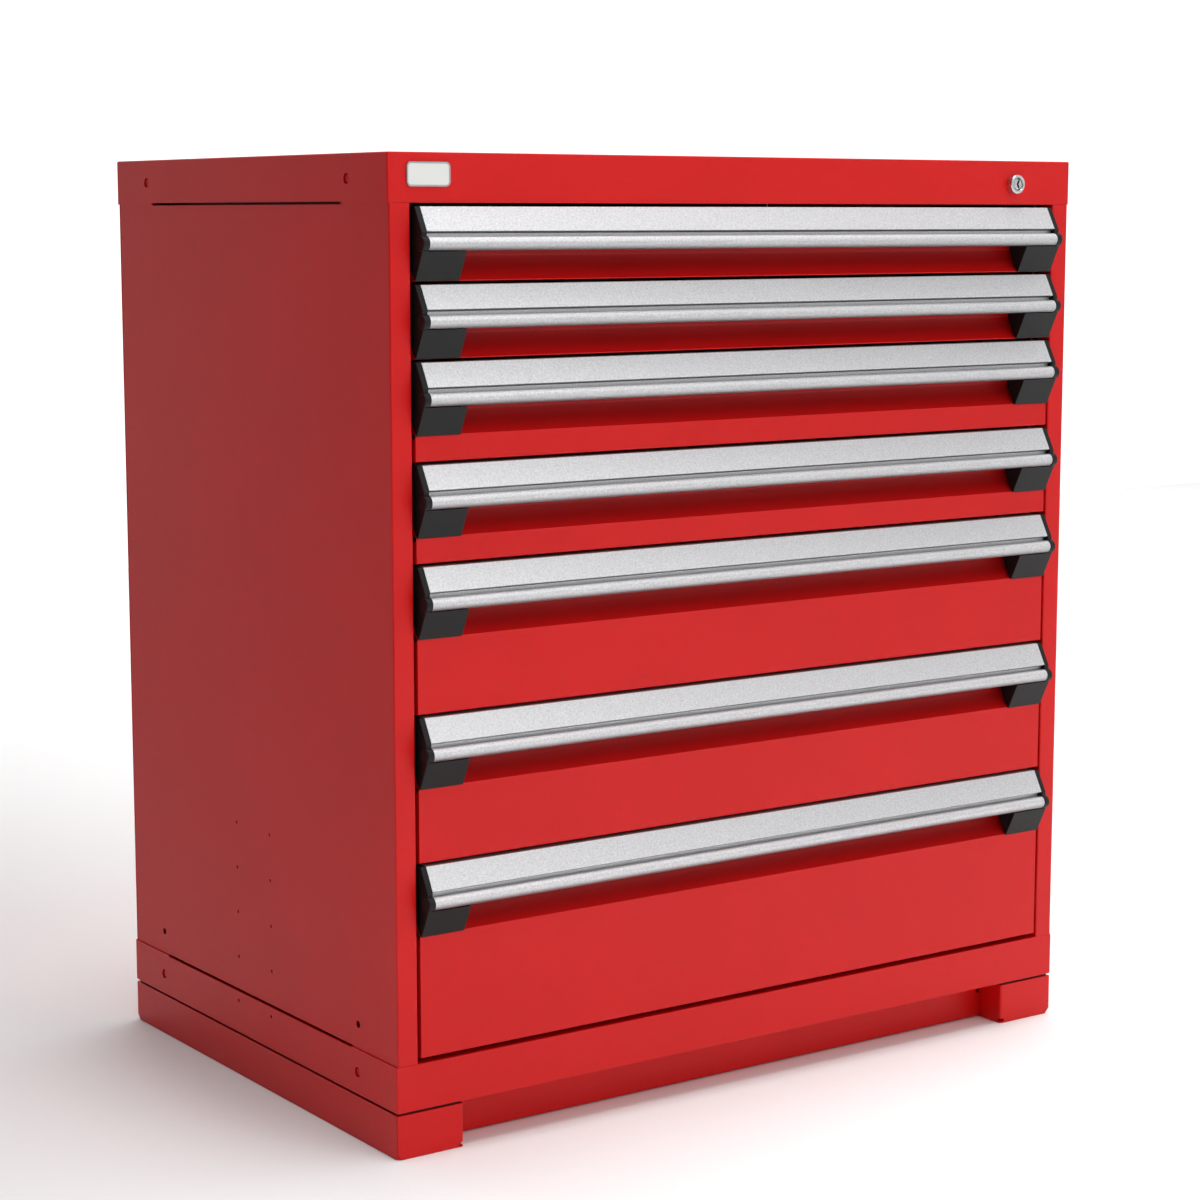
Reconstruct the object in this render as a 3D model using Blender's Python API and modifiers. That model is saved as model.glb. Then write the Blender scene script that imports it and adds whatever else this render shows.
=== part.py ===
"""Seven-drawer steel tool chest on a recessed base: housing, drawers, slides and lock.

Units are metres. X runs across the chest, -Y is its front and +Z is up. The origin is on the floor,
in the middle of the footprint that the housing and the handles cover.
"""

import math

import bmesh
import bpy
from mathutils import Matrix, Vector

# Housing, overall
WIDTH = 0.9144                  # over the skirts of the cap and the pan
DEPTH = 0.6096                  # front sheet to back skirt, without the handles
HEIGHT = 1.0160
SHEET = 0.0012                  # housing and drawer sheet
GAP = 0.0003                    # between pieces that touch
INCH = 0.0254
MERGE = 1e-6                    # points closer than this are one

# Handle section, in (distance behind the front plane, height above the drawer front's top edge)
GRIP_RADIUS = 0.0074
GRIP_CENTRE = (-0.0134, -0.0360)
PLATE_TOP = (-0.0017, -0.0002)
PLATE_BOTTOM = (-0.0149, -0.0244)
HANDLE_WALL = 0.0020
BOSS_RADIUS = 0.0080            # round boss of an end cap, over the grip's end
HANDLE_REACH = BOSS_RADIUS - GRIP_CENTRE[0]
HANDLE_BACK = 0.0147            # back leg, which lies on the recess wall
HANDLE_LEG_BOTTOM = -0.0482
NECK_FRONT = -0.0096
NECK_BACK = -0.0076

FRONT = (HANDLE_REACH - DEPTH) / 2.0    # Y of the plane of the stiles and drawer fronts
BACK = FRONT + DEPTH

# Heights
BASE_HEIGHT = 0.0463
PAN_BOTTOM = 0.0488
PAN_TOP = 0.0977
CAP_BOTTOM = 0.9669
DRAWER_LINE = 0.9666            # the first drawer's pitch starts here
DRAWER_PITCHES = [3 * INCH, 3 * INCH, 4 * INCH, 4 * INCH, 6 * INCH, 6 * INCH, 8 * INCH]
DRAWER_GAP = 0.0030

# Side panels, with the stiles folded from their front edges
PANEL_OUT = WIDTH / 2.0 - SHEET - GAP
OPENING_HALF = 0.4318           # the stiles' inner faces
JAMB_DEPTH = 0.0200
REAR_FLANGE = 0.0220
SLOT_Y = (0.0920, 0.5210)       # long slots where the skirts meet the side panels
SLOT_HEIGHT = 0.0028
BOLT_Y = (0.0803, 0.5330)
BOLT_HOLE = 0.0055              # radius of the holes in the skirts
CAP_BOLT_Z = 0.9910
PAN_BOLT_Z = 0.0730
PANEL_HOLE = 0.00385
PANEL_HOLE_Z = 0.1240
VENT_HOLE = 0.0015
VENT_Y = (0.2683, 0.3448)
VENT_Z = (0.1370, 0.1878, 0.2386, 0.2894)
PAN_VENT_Z = 0.0862

# Base
BASE_INSET = 0.0008
BASE_SHEET = 0.0020
FOOT_WIDTH = 0.0790
TOE_RECESS = 0.0381
TOE_LIFT = 0.0010               # the toe and rear panels hang this far above the floor
BASE_LIP = 0.0200               # their upper and lower flanges
CORNER_CUT = 0.0060
LEDGE_INSET = 0.0120            # packing ledge on a rail, in from its edges

# Drawers
FRONT_HALF = 0.4280
RECESS_DEPTH = 0.0150
RECESS_BOTTOM = -0.0484         # where the recess wall starts to curve out
COVE_BOTTOM = -0.0722
COVE_SAGITTA = 0.0032
TRAY_HALF = 0.3860
TRAY_BACK = 0.5720
TRAY_LIFT = 0.0060              # tray floor above the front's lower edge
TRAY_DROP = 0.0142              # tray rim below the front's upper edge
UPTURN = (0.0165, 0.0100)       # depth of the front's lower flange and height of its turned-up edge

# Slides: one C on the tray, one on the housing, and a middle member that runs in both
SLIDE_SHEET = 0.0018
SLIDE_LIFT = 0.0300             # slide axis above the front's lower edge
SLIDE_HALF = 0.0170             # half the height of a C
RUNNER_X = (0.3856, 0.4010)
RUNNER_FRONT = 0.0220
RUNNER_BACK = 0.5700
MIDDLE_X = (0.3892, 0.4260)
MIDDLE_WEB = (0.4025, 0.4045)
MIDDLE_HALF = 0.0136
RAIL_X = (0.4060, 0.4299)
SLIDE_FRONT = 0.0360
SLIDE_BACK = 0.5720
UPRIGHT_X = (0.4296, 0.4542)
UPRIGHT_WIDTH = 0.0400
UPRIGHT_Y = (0.0360, 0.5300)

# Handle end caps
METAL_HALF = 0.4216
CAP_INNER = METAL_HALF + GAP
CAP_CORNER = (PLATE_BOTTOM[0] - 0.0004, PLATE_BOTTOM[1] - 0.0008)
CAP_ARC = (100.0, 245.0)        # the boss shows between these angles
CAP_HEEL = (HANDLE_BACK - 0.0005, RECESS_BOTTOM)
WEB_INNER = 0.3770
WEB_TOP = -0.0453
WEB_SHOULDER = (GRIP_CENTRE[0] - 0.0030, WEB_TOP)
WEB_TIP = ((-0.0021, -0.0730), (-0.0009, -0.0730))
WEB_HEEL = (HANDLE_BACK - HANDLE_WALL - GAP, HANDLE_LEG_BOTTOM - 0.0012)

# Lock
LOCK_X = 0.3703
LOCK_Z = 0.9897
LOCK_RADIUS = 0.0107
LOCK_PROUD = 0.0074
BARREL_RADIUS = 0.0088
PLUG_RADIUS = 0.0062
PLUG_SUNK = 0.0004              # plug's face below the head's
KEYWAY = (0.0016, 0.0134, 0.0080)   # width, depth and height of the keyway
BARREL_BACK = 0.0160
PLUG_BACK = 0.0180
CAM_RADIUS = 0.0120
CAM_THICKNESS = 0.0030
PIN_THROW = 0.0080              # the plug's quarter turn lifts the bar by this much
PIN_RADIUS = 0.0026
PIN_BACK = 0.0315
PIN_SLACK = (0.0010, 0.0021)    # room for the pin in the arm's slot, across and up
BAR_X = (0.4273, 0.4308)
BAR_Y = (0.0265, 0.0335)
BAR_BOTTOM = 0.0990
ARM_Y = (0.0265, 0.0300)
ARM_Z = (0.9820, 1.0000)
ARM_END = 0.3620
HOOK_X = (0.4200, 0.4270)
HOOK_FRONT = 0.0190
HOOK_ROOT = 0.0305              # the hooks' foot ends inside the bar
HOOK_SHEET = 0.0020
HOOK_HEIGHT = 0.0080
HOOK_REST = 0.0145              # hook tip below the drawer front's upper edge
CATCH_TOP = 0.0040
CATCH_DROP = 0.0080
CATCH_BACK = 0.0255
CATCH_SHEET = 0.0015
GUIDE_LOW_Z = (0.1040, 0.1120)
GUIDE_HIGH_Z = (0.9690, 0.9770)
GUIDE_Y = (0.0210, 0.0357)
GUIDE_INNER = 0.4245
GUIDE_SLACK = 0.0006            # room for the bar in a guide

# Badge
BADGE_CENTRE = (-0.4110, 0.9946)
BADGE_SIZE = (0.0500, 0.0240)
BADGE_CORNER = 0.0050
BADGE_THICKNESS = 0.0012

# Colour, roughness and metallic value of each finish
RED = ((0.56, 0.022, 0.022), 0.42, 0.0)
ALUMINIUM = ((0.80, 0.80, 0.81), 0.45, 1.0)
PLASTIC = ((0.030, 0.031, 0.032), 0.50, 0.0)
ZINC = ((0.62, 0.63, 0.64), 0.38, 1.0)
CHROME = ((0.78, 0.78, 0.79), 0.15, 1.0)
ENAMEL = ((0.80, 0.80, 0.79), 0.35, 0.0)

# Axis maps for flat outlines: the columns are the directions of the outline's u, v and normal
ALONG_X = Matrix(((0, 0, 1), (1, 0, 0), (0, 1, 0)))     # outline in (Y, Z)
ALONG_Y = Matrix(((1, 0, 0), (0, 0, -1), (0, 1, 0)))    # outline in (X, Z)
ALONG_Z = Matrix.Identity(3)                            # outline in (X, Y)


def clear_scene():
    """Remove what a new file holds."""
    for item in list(bpy.data.objects):
        bpy.data.objects.remove(item)


def new_collection(name):
    """Collection with this name, linked to the scene."""
    collection = bpy.data.collections.new(name)
    bpy.context.scene.collection.children.link(collection)
    return collection


def make_material(name, color, roughness, metallic):
    """Plain material with these values."""
    material = bpy.data.materials.new(name)
    material.use_nodes = True
    shader = material.node_tree.nodes["Principled BSDF"]
    shader.inputs["Base Color"].default_value = (*color, 1.0)
    shader.inputs["Roughness"].default_value = roughness
    shader.inputs["Metallic"].default_value = metallic
    material.diffuse_color = (*color, 1.0)
    return material


def behind(distance):
    """Y of a plane this far behind the front plane."""
    return FRONT + distance


def add_object(mesh, name):
    """Object that shows this mesh, linked to the scene."""
    item = bpy.data.objects.new(name, mesh)
    bpy.context.scene.collection.objects.link(item)
    return item


def finish_piece(item, name, material):
    """Name a piece, give it its own material and file it with the chest's parts."""
    item.name = name
    item.data.name = name
    item.data.materials.clear()
    item.data.materials.append(make_material(name, *material))
    for collection in list(item.users_collection):
        collection.objects.unlink(item)
    PARTS.objects.link(item)
    return item


def bake(item):
    """Replace an object by the mesh it evaluates to, with its place in the mesh."""
    bpy.context.view_layer.update()
    depsgraph = bpy.context.evaluated_depsgraph_get()
    mesh = bpy.data.meshes.new_from_object(item.evaluated_get(depsgraph))
    mesh.transform(item.matrix_world)
    shape = bmesh.new()
    shape.from_mesh(mesh)
    bmesh.ops.remove_doubles(shape, verts=shape.verts, dist=MERGE)
    bmesh.ops.recalc_face_normals(shape, faces=shape.faces)
    shape.to_mesh(mesh)
    shape.free()
    name = item.name
    bpy.data.objects.remove(item)
    return add_object(mesh, name)


def box(low, high):
    """Box between two corners."""
    low, high = Vector(low), Vector(high)
    shape = bmesh.new()
    bmesh.ops.create_cube(shape, size=1.0)
    bmesh.ops.scale(shape, vec=high - low, verts=shape.verts)
    bmesh.ops.translate(shape, vec=(low + high) / 2.0, verts=shape.verts)
    mesh = bpy.data.meshes.new("box")
    shape.to_mesh(mesh)
    shape.free()
    return add_object(mesh, "box")


def tray(low, high, opening, wall):
    """Box of sheet metal, open on the side that the vector opening points to."""
    item = box(low, high)
    shape = bmesh.new()
    shape.from_mesh(item.data)
    shape.normal_update()
    lids = [face for face in shape.faces if face.normal.dot(Vector(opening)) > 0.9]
    bmesh.ops.delete(shape, geom=lids, context="FACES_ONLY")
    shape.to_mesh(item.data)
    shape.free()
    solidify = item.modifiers.new("wall", "SOLIDIFY")
    solidify.thickness = wall
    solidify.offset = -1.0
    solidify.use_even_offset = True
    return bake(item)


def rods(ends, radius, sides=12):
    """Round rods in one mesh, each between two points on a line along X or Y."""
    shape = bmesh.new()
    for start, end in ends:
        start, end = Vector(start), Vector(end)
        turn = (end - start).to_track_quat("Z", "Y").to_matrix().to_4x4()
        place = Matrix.Translation((start + end) / 2.0) @ turn
        bmesh.ops.create_cone(shape, cap_ends=True, segments=sides, radius1=radius, radius2=radius,
                              depth=(end - start).length, matrix=place)
    mesh = bpy.data.meshes.new("rods")
    shape.to_mesh(mesh)
    shape.free()
    return add_object(mesh, "rods")


def extrude(outline, directions, start, end):
    """Solid between two levels whose section is a closed outline."""
    curve = bpy.data.curves.new("outline", "CURVE")
    curve.dimensions = "2D"
    curve.fill_mode = "BOTH"
    curve.extrude = abs(end - start) / 2.0
    spline = curve.splines.new("POLY")
    spline.points.add(len(outline) - 1)
    for point, (u, v) in zip(spline.points, outline):
        point.co = (u, v, 0.0, 1.0)
    spline.use_cyclic_u = True
    item = bpy.data.objects.new("outline", curve)
    bpy.context.scene.collection.objects.link(item)
    normal = directions @ Vector((0.0, 0.0, 1.0))
    level = (start + end) / 2.0 * (1.0 if sum(normal) > 0.0 else -1.0)
    item.matrix_world = Matrix.Translation(normal * level) @ directions.to_4x4()
    return bake(item)


def fold(path, thickness):
    """Closed outline of a sheet folded along a path; the sheet lies on the path's left."""
    points = [Vector(point) for point in path]
    steps = [(b - a).normalized() for a, b in zip(points, points[1:])]
    lefts = [Vector((-step.y, step.x)) for step in steps]
    inner = [points[0] + lefts[0] * thickness]
    for point, before, after in zip(points[1:], lefts, lefts[1:]):
        miter = (before + after).normalized()
        inner.append(point + miter * (thickness / miter.dot(after)))
    inner.append(points[-1] + lefts[-1] * thickness)
    return [tuple(point) for point in points + inner[::-1]]


def arc(centre, radius, start, end, steps):
    """Points on an arc, angles in degrees from +u towards +v."""
    points = []
    for index in range(steps + 1):
        angle = math.radians(start + (end - start) * index / steps)
        points.append((centre[0] + radius * math.cos(angle), centre[1] + radius * math.sin(angle)))
    return points


def shift(outline, u, v):
    """Outline moved by (u, v)."""
    return [(point[0] + u, point[1] + v) for point in outline]


def weld(item, *others):
    """Union of pieces that overlap."""
    for other in others:
        boolean = item.modifiers.new("weld", "BOOLEAN")
        boolean.operation = "UNION"
        boolean.object = other
        item = bake(item)
        bpy.data.objects.remove(other)
    return item


def cut(item, *cutters):
    """Cut a piece; the cutters stay in their own collection."""
    for cutter in cutters:
        if cutter.name not in CUTTERS.objects:
            cutter.name = "cutter"
            bpy.context.scene.collection.objects.unlink(cutter)
            CUTTERS.objects.link(cutter)
            cutter.hide_render = True
            cutter.display_type = "WIRE"
        boolean = item.modifiers.new("cut", "BOOLEAN")
        boolean.operation = "DIFFERENCE"
        boolean.object = cutter
    return item


def mirrored(item):
    """Copy of a piece on the other side of the chest's middle plane."""
    mesh = item.data.copy()
    mesh.transform(Matrix.Scale(-1.0, 4, (1.0, 0.0, 0.0)))
    mesh.flip_normals()
    return add_object(mesh, "mirrored")


def drawer_levels():
    """Lower and upper edge of each drawer front, from the top drawer down."""
    levels = []
    line = DRAWER_LINE
    for pitch in DRAWER_PITCHES:
        levels.append((line - pitch, line - DRAWER_GAP))
        line -= pitch
    return levels


# ---------------------------------------------------------------- housing

def cross_bores(positions, radius, sides=12):
    """Cutter: rods right across the chest at (distance behind the front, height)."""
    reach = WIDTH
    return rods([((-reach, behind(y), z), (reach, behind(y), z)) for y, z in positions], radius, sides)


def slot_cutter(level):
    """Cutter for the long slots on both sides, where a skirt's edge is at this level."""
    reach = WIDTH
    return box((-reach, behind(SLOT_Y[0]), level - SLOT_HEIGHT / 2.0),
               (reach, behind(SLOT_Y[1]), level + SLOT_HEIGHT / 2.0))


def front_lip(low, high):
    """Flange that turns in behind a front skirt and rests on the stiles' ends."""
    half = PANEL_OUT - SHEET - GAP
    return box((-half, behind(SHEET / 2.0), low), (half, behind(JAMB_DEPTH), high))


def make_cap(slots, lock_bore):
    """Lid with skirts on all four sides, open downwards."""
    shell = tray((-WIDTH / 2.0, FRONT, CAP_BOTTOM), (WIDTH / 2.0, BACK, HEIGHT), (0, 0, -1), SHEET)
    shell = weld(shell, front_lip(CAP_BOTTOM, CAP_BOTTOM + SHEET))
    bolts = cross_bores([(y, CAP_BOLT_Z) for y in BOLT_Y], BOLT_HOLE)
    return finish_piece(cut(shell, slots, bolts, lock_bore), "top_cap", RED)


def make_pan(slots):
    """Floor with skirts on all four sides, open upwards."""
    shell = tray((-WIDTH / 2.0, FRONT, PAN_BOTTOM), (WIDTH / 2.0, BACK, PAN_TOP), (0, 0, 1), SHEET)
    shell = weld(shell, front_lip(PAN_TOP - SHEET, PAN_TOP))
    bolts = cross_bores([(y, PAN_BOLT_Z) for y in BOLT_Y], BOLT_HOLE)
    vents = cross_bores([(y, PAN_VENT_Z) for y in VENT_Y], VENT_HOLE, 8)
    return finish_piece(cut(shell, slots, bolts, vents), "bottom_pan", RED)


def make_side_panels(cap_slots, pan_slots):
    """Side sheets with a stile and a jamb folded at the front and a flange at the back."""
    low, high = PAN_BOTTOM + SHEET + GAP, HEIGHT - SHEET - GAP
    rear_face = BACK - 2.0 * (SHEET + GAP)
    path = [
        (OPENING_HALF, behind(JAMB_DEPTH)),
        (OPENING_HALF, FRONT),
        (PANEL_OUT, FRONT),
        (PANEL_OUT, rear_face),
        (PANEL_OUT - REAR_FLANGE, rear_face),
    ]
    panel = extrude(fold(path, SHEET), ALONG_Z, low, high)
    holes = cross_bores([(y, PANEL_HOLE_Z) for y in BOLT_Y], PANEL_HOLE)
    vents = cross_bores([(y, z) for y in VENT_Y for z in VENT_Z], VENT_HOLE, 8)
    ends = []
    for bottom, top in ((low - SHEET, PAN_TOP + GAP), (CAP_BOTTOM - GAP, high + SHEET)):
        ends.append(box((-WIDTH, FRONT - SHEET, bottom), (WIDTH, behind(SHEET + GAP), top)))
        inner = PANEL_OUT - SHEET - GAP / 2.0
        ends.append(box((-inner, FRONT - SHEET, bottom), (inner, behind(JAMB_DEPTH + SHEET), top)))
    cutters = (cap_slots, pan_slots, holes, vents, *ends)
    finish_piece(cut(mirrored(panel), *cutters), "side_panel_left", RED)
    finish_piece(cut(panel, *cutters), "side_panel_right", RED)


def make_back_panel():
    """Flat back between the side panels' flanges and the back skirts."""
    outer = BACK - SHEET - GAP
    low, high = PAN_BOTTOM + SHEET + GAP, HEIGHT - SHEET - GAP
    panel = box((-PANEL_OUT, outer - SHEET, low), (PANEL_OUT, outer, high))
    finish_piece(panel, "back_panel", RED)


def make_base():
    """Two rails that stand on the floor, joined by a recessed toe panel and a rear panel."""
    outer = WIDTH / 2.0 - BASE_INSET
    inner = outer - FOOT_WIDTH
    front, back = FRONT + BASE_INSET, BACK - BASE_INSET
    rail = box((inner, front, 0.0), (outer, back, BASE_HEIGHT))
    ledge = box((inner + LEDGE_INSET, front + LEDGE_INSET, BASE_HEIGHT - BASE_SHEET / 2.0),
                (outer - LEDGE_INSET, back - LEDGE_INSET, PAN_BOTTOM - GAP))
    rail = weld(rail, ledge)
    hollow = box((inner + BASE_SHEET, front + BASE_SHEET, BASE_SHEET),
                 (outer - BASE_SHEET, back - BASE_SHEET, BASE_HEIGHT - BASE_SHEET))
    window = box((inner - BASE_SHEET, behind(TOE_RECESS + BASE_SHEET), BASE_SHEET),
                 (inner + 2.0 * BASE_SHEET, BACK - TOE_RECESS - BASE_SHEET, BASE_HEIGHT - BASE_SHEET))
    corners = [corner_cutter(outer, front, 1.0), corner_cutter(outer, back, -1.0)]
    left_cutters = [mirrored(item) for item in (hollow, window, *corners)]
    finish_piece(cut(mirrored(rail), *left_cutters), "base_rail_left", RED)
    finish_piece(cut(rail, hollow, window, *corners), "base_rail_right", RED)
    half = inner - GAP
    for name, face, inward in (("base_toe_panel", behind(TOE_RECESS), 1.0),
                               ("base_rear_panel", BACK - TOE_RECESS, -1.0)):
        lip = face + inward * BASE_LIP
        path = [(lip, BASE_HEIGHT), (face, BASE_HEIGHT), (face, TOE_LIFT), (lip, TOE_LIFT)]
        if inward < 0.0:
            path.reverse()
        finish_piece(extrude(fold(path, BASE_SHEET), ALONG_X, -half, half), name, RED)


def corner_cutter(x, y, inward):
    """Slanted block that takes off a rail's lower outer corner."""
    size = 4.0 * CORNER_CUT
    block = box((-size, -size, -size), (size, size, 0.0))
    normal = Vector((1.0, -inward, -1.0)).normalized()
    turn = (-normal).to_track_quat("Z", "Y").to_matrix().to_4x4()
    point = Vector((x, y, 0.0)) - normal * (CORNER_CUT / math.sqrt(3.0))
    block.data.transform(Matrix.Translation(point) @ turn)
    return block


# ---------------------------------------------------------------- slides

def slide_frame():
    """Right-hand frame: two uprights with a cabinet rail for each drawer."""
    low, high = PAN_BOTTOM + SHEET + GAP, HEIGHT - SHEET - 2.0 * GAP
    uprights = []
    for start in UPRIGHT_Y:
        near, far = behind(start), behind(start + UPRIGHT_WIDTH)
        path = [(UPRIGHT_X[1], far), (UPRIGHT_X[0], far), (UPRIGHT_X[0], near), (UPRIGHT_X[1], near)]
        uprights.append(extrude(fold(path, SLIDE_SHEET), ALONG_Z, low, high))
    rails = []
    for bottom, _ in drawer_levels():
        axis = bottom + SLIDE_LIFT
        path = [(RAIL_X[0], axis - SLIDE_HALF), (RAIL_X[1], axis - SLIDE_HALF),
                (RAIL_X[1], axis + SLIDE_HALF), (RAIL_X[0], axis + SLIDE_HALF)]
        rails.append(extrude(fold(path, SLIDE_SHEET), ALONG_Y, behind(SLIDE_FRONT), behind(SLIDE_BACK)))
    return weld(rails[0], *uprights, *rails[1:])


def make_slide_frames():
    """Frames on both sides of the drawers."""
    frame = slide_frame()
    finish_piece(mirrored(frame), "slide_frame_left", ZINC)
    finish_piece(frame, "slide_frame_right", ZINC)


def make_middle_slides(number, bottom):
    """H-section members, one on each side, that run in the tray's C and the housing's C."""
    half, sheet = MIDDLE_HALF, SLIDE_SHEET
    section = [
        (MIDDLE_X[0], half), (MIDDLE_X[0], half - sheet), (MIDDLE_WEB[0], half - sheet),
        (MIDDLE_WEB[0], sheet - half), (MIDDLE_X[0], sheet - half), (MIDDLE_X[0], -half),
        (MIDDLE_X[1], -half), (MIDDLE_X[1], sheet - half), (MIDDLE_WEB[1], sheet - half),
        (MIDDLE_WEB[1], half - sheet), (MIDDLE_X[1], half - sheet), (MIDDLE_X[1], half),
    ]
    outline = shift(section, 0.0, bottom + SLIDE_LIFT)
    member = extrude(outline, ALONG_Y, behind(SLIDE_FRONT), behind(SLIDE_BACK))
    finish_piece(mirrored(member), f"middle_slide_left_{number}", ZINC)
    finish_piece(member, f"middle_slide_right_{number}", ZINC)


# ---------------------------------------------------------------- drawers

def cove():
    """Points of the hollow curve from the recess wall out to the front plane."""
    top, end = Vector((RECESS_DEPTH, RECESS_BOTTOM)), Vector((0.0, COVE_BOTTOM))
    chord = end - top
    radius = (chord.length ** 2 / 4.0 + COVE_SAGITTA ** 2) / (2.0 * COVE_SAGITTA)
    across = Vector((chord.y, -chord.x)).normalized()
    centre = (top + end) / 2.0 + across * (radius - COVE_SAGITTA)
    start_angle = math.degrees(math.atan2(top.y - centre.y, top.x - centre.x))
    end_angle = math.degrees(math.atan2(end.y - centre.y, end.x - centre.x))
    return arc(centre, radius, start_angle, end_angle, 6)


def make_drawer(number, bottom, top):
    """Tray, folded front, runners and lock catch, welded into one piece."""
    height = top - bottom
    path = [(RECESS_DEPTH, -GAP), *cove(), (0.0, -height),
            (UPTURN[0], -height), (UPTURN[0], UPTURN[1] - height)]
    skin = extrude(fold(shift(path, FRONT, top), SHEET), ALONG_X, -FRONT_HALF, FRONT_HALF)
    bin_low = (-TRAY_HALF, behind(RECESS_DEPTH + SHEET / 2.0), bottom + TRAY_LIFT)
    bin_high = (TRAY_HALF, behind(TRAY_BACK), top - TRAY_DROP)
    body = tray(bin_low, bin_high, (0, 0, 1), SHEET)
    axis = bottom + SLIDE_LIFT
    path = [(RUNNER_X[1], axis + SLIDE_HALF), (RUNNER_X[0], axis + SLIDE_HALF),
            (RUNNER_X[0], axis - SLIDE_HALF), (RUNNER_X[1], axis - SLIDE_HALF)]
    runner = extrude(fold(path, SLIDE_SHEET), ALONG_Y, behind(RUNNER_FRONT), behind(RUNNER_BACK))
    path = [(CATCH_BACK, -CATCH_TOP - CATCH_DROP), (CATCH_BACK, -CATCH_TOP),
            (RECESS_DEPTH + SHEET / 2.0, -CATCH_TOP)]
    catch = extrude(fold(shift(path, FRONT, top), CATCH_SHEET), ALONG_X, *HOOK_X)
    body = weld(body, skin, mirrored(runner), runner, catch)
    finish_piece(body, f"drawer_{number}", RED)


def handle_section():
    """Label plate, groove and round grip on a neck, with a top flange and a back leg."""
    slope = Vector(PLATE_BOTTOM) - Vector(PLATE_TOP)
    inward = Vector((-slope.y, slope.x)).normalized() * HANDLE_WALL
    inside = Vector(PLATE_TOP) + inward
    top_inside = PLATE_TOP[1] - HANDLE_WALL
    plate_y = inside.x + (top_inside - inside.y) * slope.x / slope.y
    neck_z = inside.y + (NECK_BACK - inside.x) * slope.y / slope.x
    start = math.degrees(math.acos((NECK_FRONT - GRIP_CENTRE[0]) / GRIP_RADIUS))
    end = 360.0 + math.degrees(math.acos((NECK_BACK - GRIP_CENTRE[0]) / GRIP_RADIUS))
    return [
        (HANDLE_BACK, PLATE_TOP[1]), PLATE_TOP, PLATE_BOTTOM,
        (NECK_FRONT, PLATE_BOTTOM[1] - HANDLE_WALL),
        *arc(GRIP_CENTRE, GRIP_RADIUS, start, end, 15),
        (NECK_BACK, neck_z), (plate_y, top_inside),
        (HANDLE_BACK - HANDLE_WALL, top_inside), (HANDLE_BACK - HANDLE_WALL, HANDLE_LEG_BOTTOM),
        (HANDLE_BACK, HANDLE_LEG_BOTTOM),
    ]


def end_cap_section():
    """Outer plate of an end cap: it follows the handle, then tapers to the front's cove."""
    return [
        (HANDLE_BACK, PLATE_TOP[1]), PLATE_TOP, CAP_CORNER,
        *arc(GRIP_CENTRE, BOSS_RADIUS, *CAP_ARC, 7),
        WEB_SHOULDER, *WEB_TIP, CAP_HEEL, (HANDLE_BACK, WEB_TOP),
    ]


def web_section():
    """Wedge under the grip's end, in front of the cove."""
    return [WEB_SHOULDER, *WEB_TIP, WEB_HEEL, (WEB_HEEL[0], WEB_TOP)]


def make_handle(number, top):
    """Aluminium extrusion and its two end caps."""
    bar = extrude(shift(handle_section(), FRONT, top), ALONG_X, -METAL_HALF, METAL_HALF)
    finish_piece(bar, f"handle_{number}", ALUMINIUM)
    plate = extrude(shift(end_cap_section(), FRONT, top), ALONG_X, CAP_INNER, FRONT_HALF)
    web = extrude(shift(web_section(), FRONT, top), ALONG_X, WEB_INNER, (CAP_INNER + FRONT_HALF) / 2.0)
    cap = weld(plate, web)
    finish_piece(mirrored(cap), f"end_cap_left_{number}", PLASTIC)
    finish_piece(cap, f"end_cap_right_{number}", PLASTIC)


# ---------------------------------------------------------------- lock and badge

def lock_rod(front, back, radius):
    """Rod on the lock's axis between two planes."""
    return rods([((LOCK_X, behind(front), LOCK_Z), (LOCK_X, behind(back), LOCK_Z))], radius, 20)


def make_lock():
    """Housing with its plug and cam: the cam's pin lifts the bar."""
    head = lock_rod(-LOCK_PROUD, -GAP, LOCK_RADIUS)
    barrel = lock_rod(-LOCK_PROUD / 2.0, BARREL_BACK, BARREL_RADIUS)
    bore = lock_rod(-2.0 * LOCK_PROUD, BARREL_BACK + LOCK_PROUD, PLUG_RADIUS + GAP)
    finish_piece(cut(weld(head, barrel), bore), "lock_housing", CHROME)
    plug = lock_rod(PLUG_SUNK - LOCK_PROUD, PLUG_BACK, PLUG_RADIUS)
    width, depth, height = KEYWAY
    keyway = box((LOCK_X - width / 2.0, behind(-2.0 * LOCK_PROUD), LOCK_Z - height / 2.0),
                 (LOCK_X + width / 2.0, behind(depth - LOCK_PROUD), LOCK_Z + height / 2.0))
    finish_piece(cut(plug, keyway), "lock_plug", CHROME)
    disc = lock_rod(PLUG_BACK + GAP, PLUG_BACK + GAP + CAM_THICKNESS, CAM_RADIUS)
    pin_x = LOCK_X + PIN_THROW
    pin = rods([((pin_x, behind(PLUG_BACK + CAM_THICKNESS / 2.0), LOCK_Z),
                 (pin_x, behind(PIN_BACK), LOCK_Z))], PIN_RADIUS)
    finish_piece(weld(disc, pin), "lock_cam", ZINC)


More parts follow.
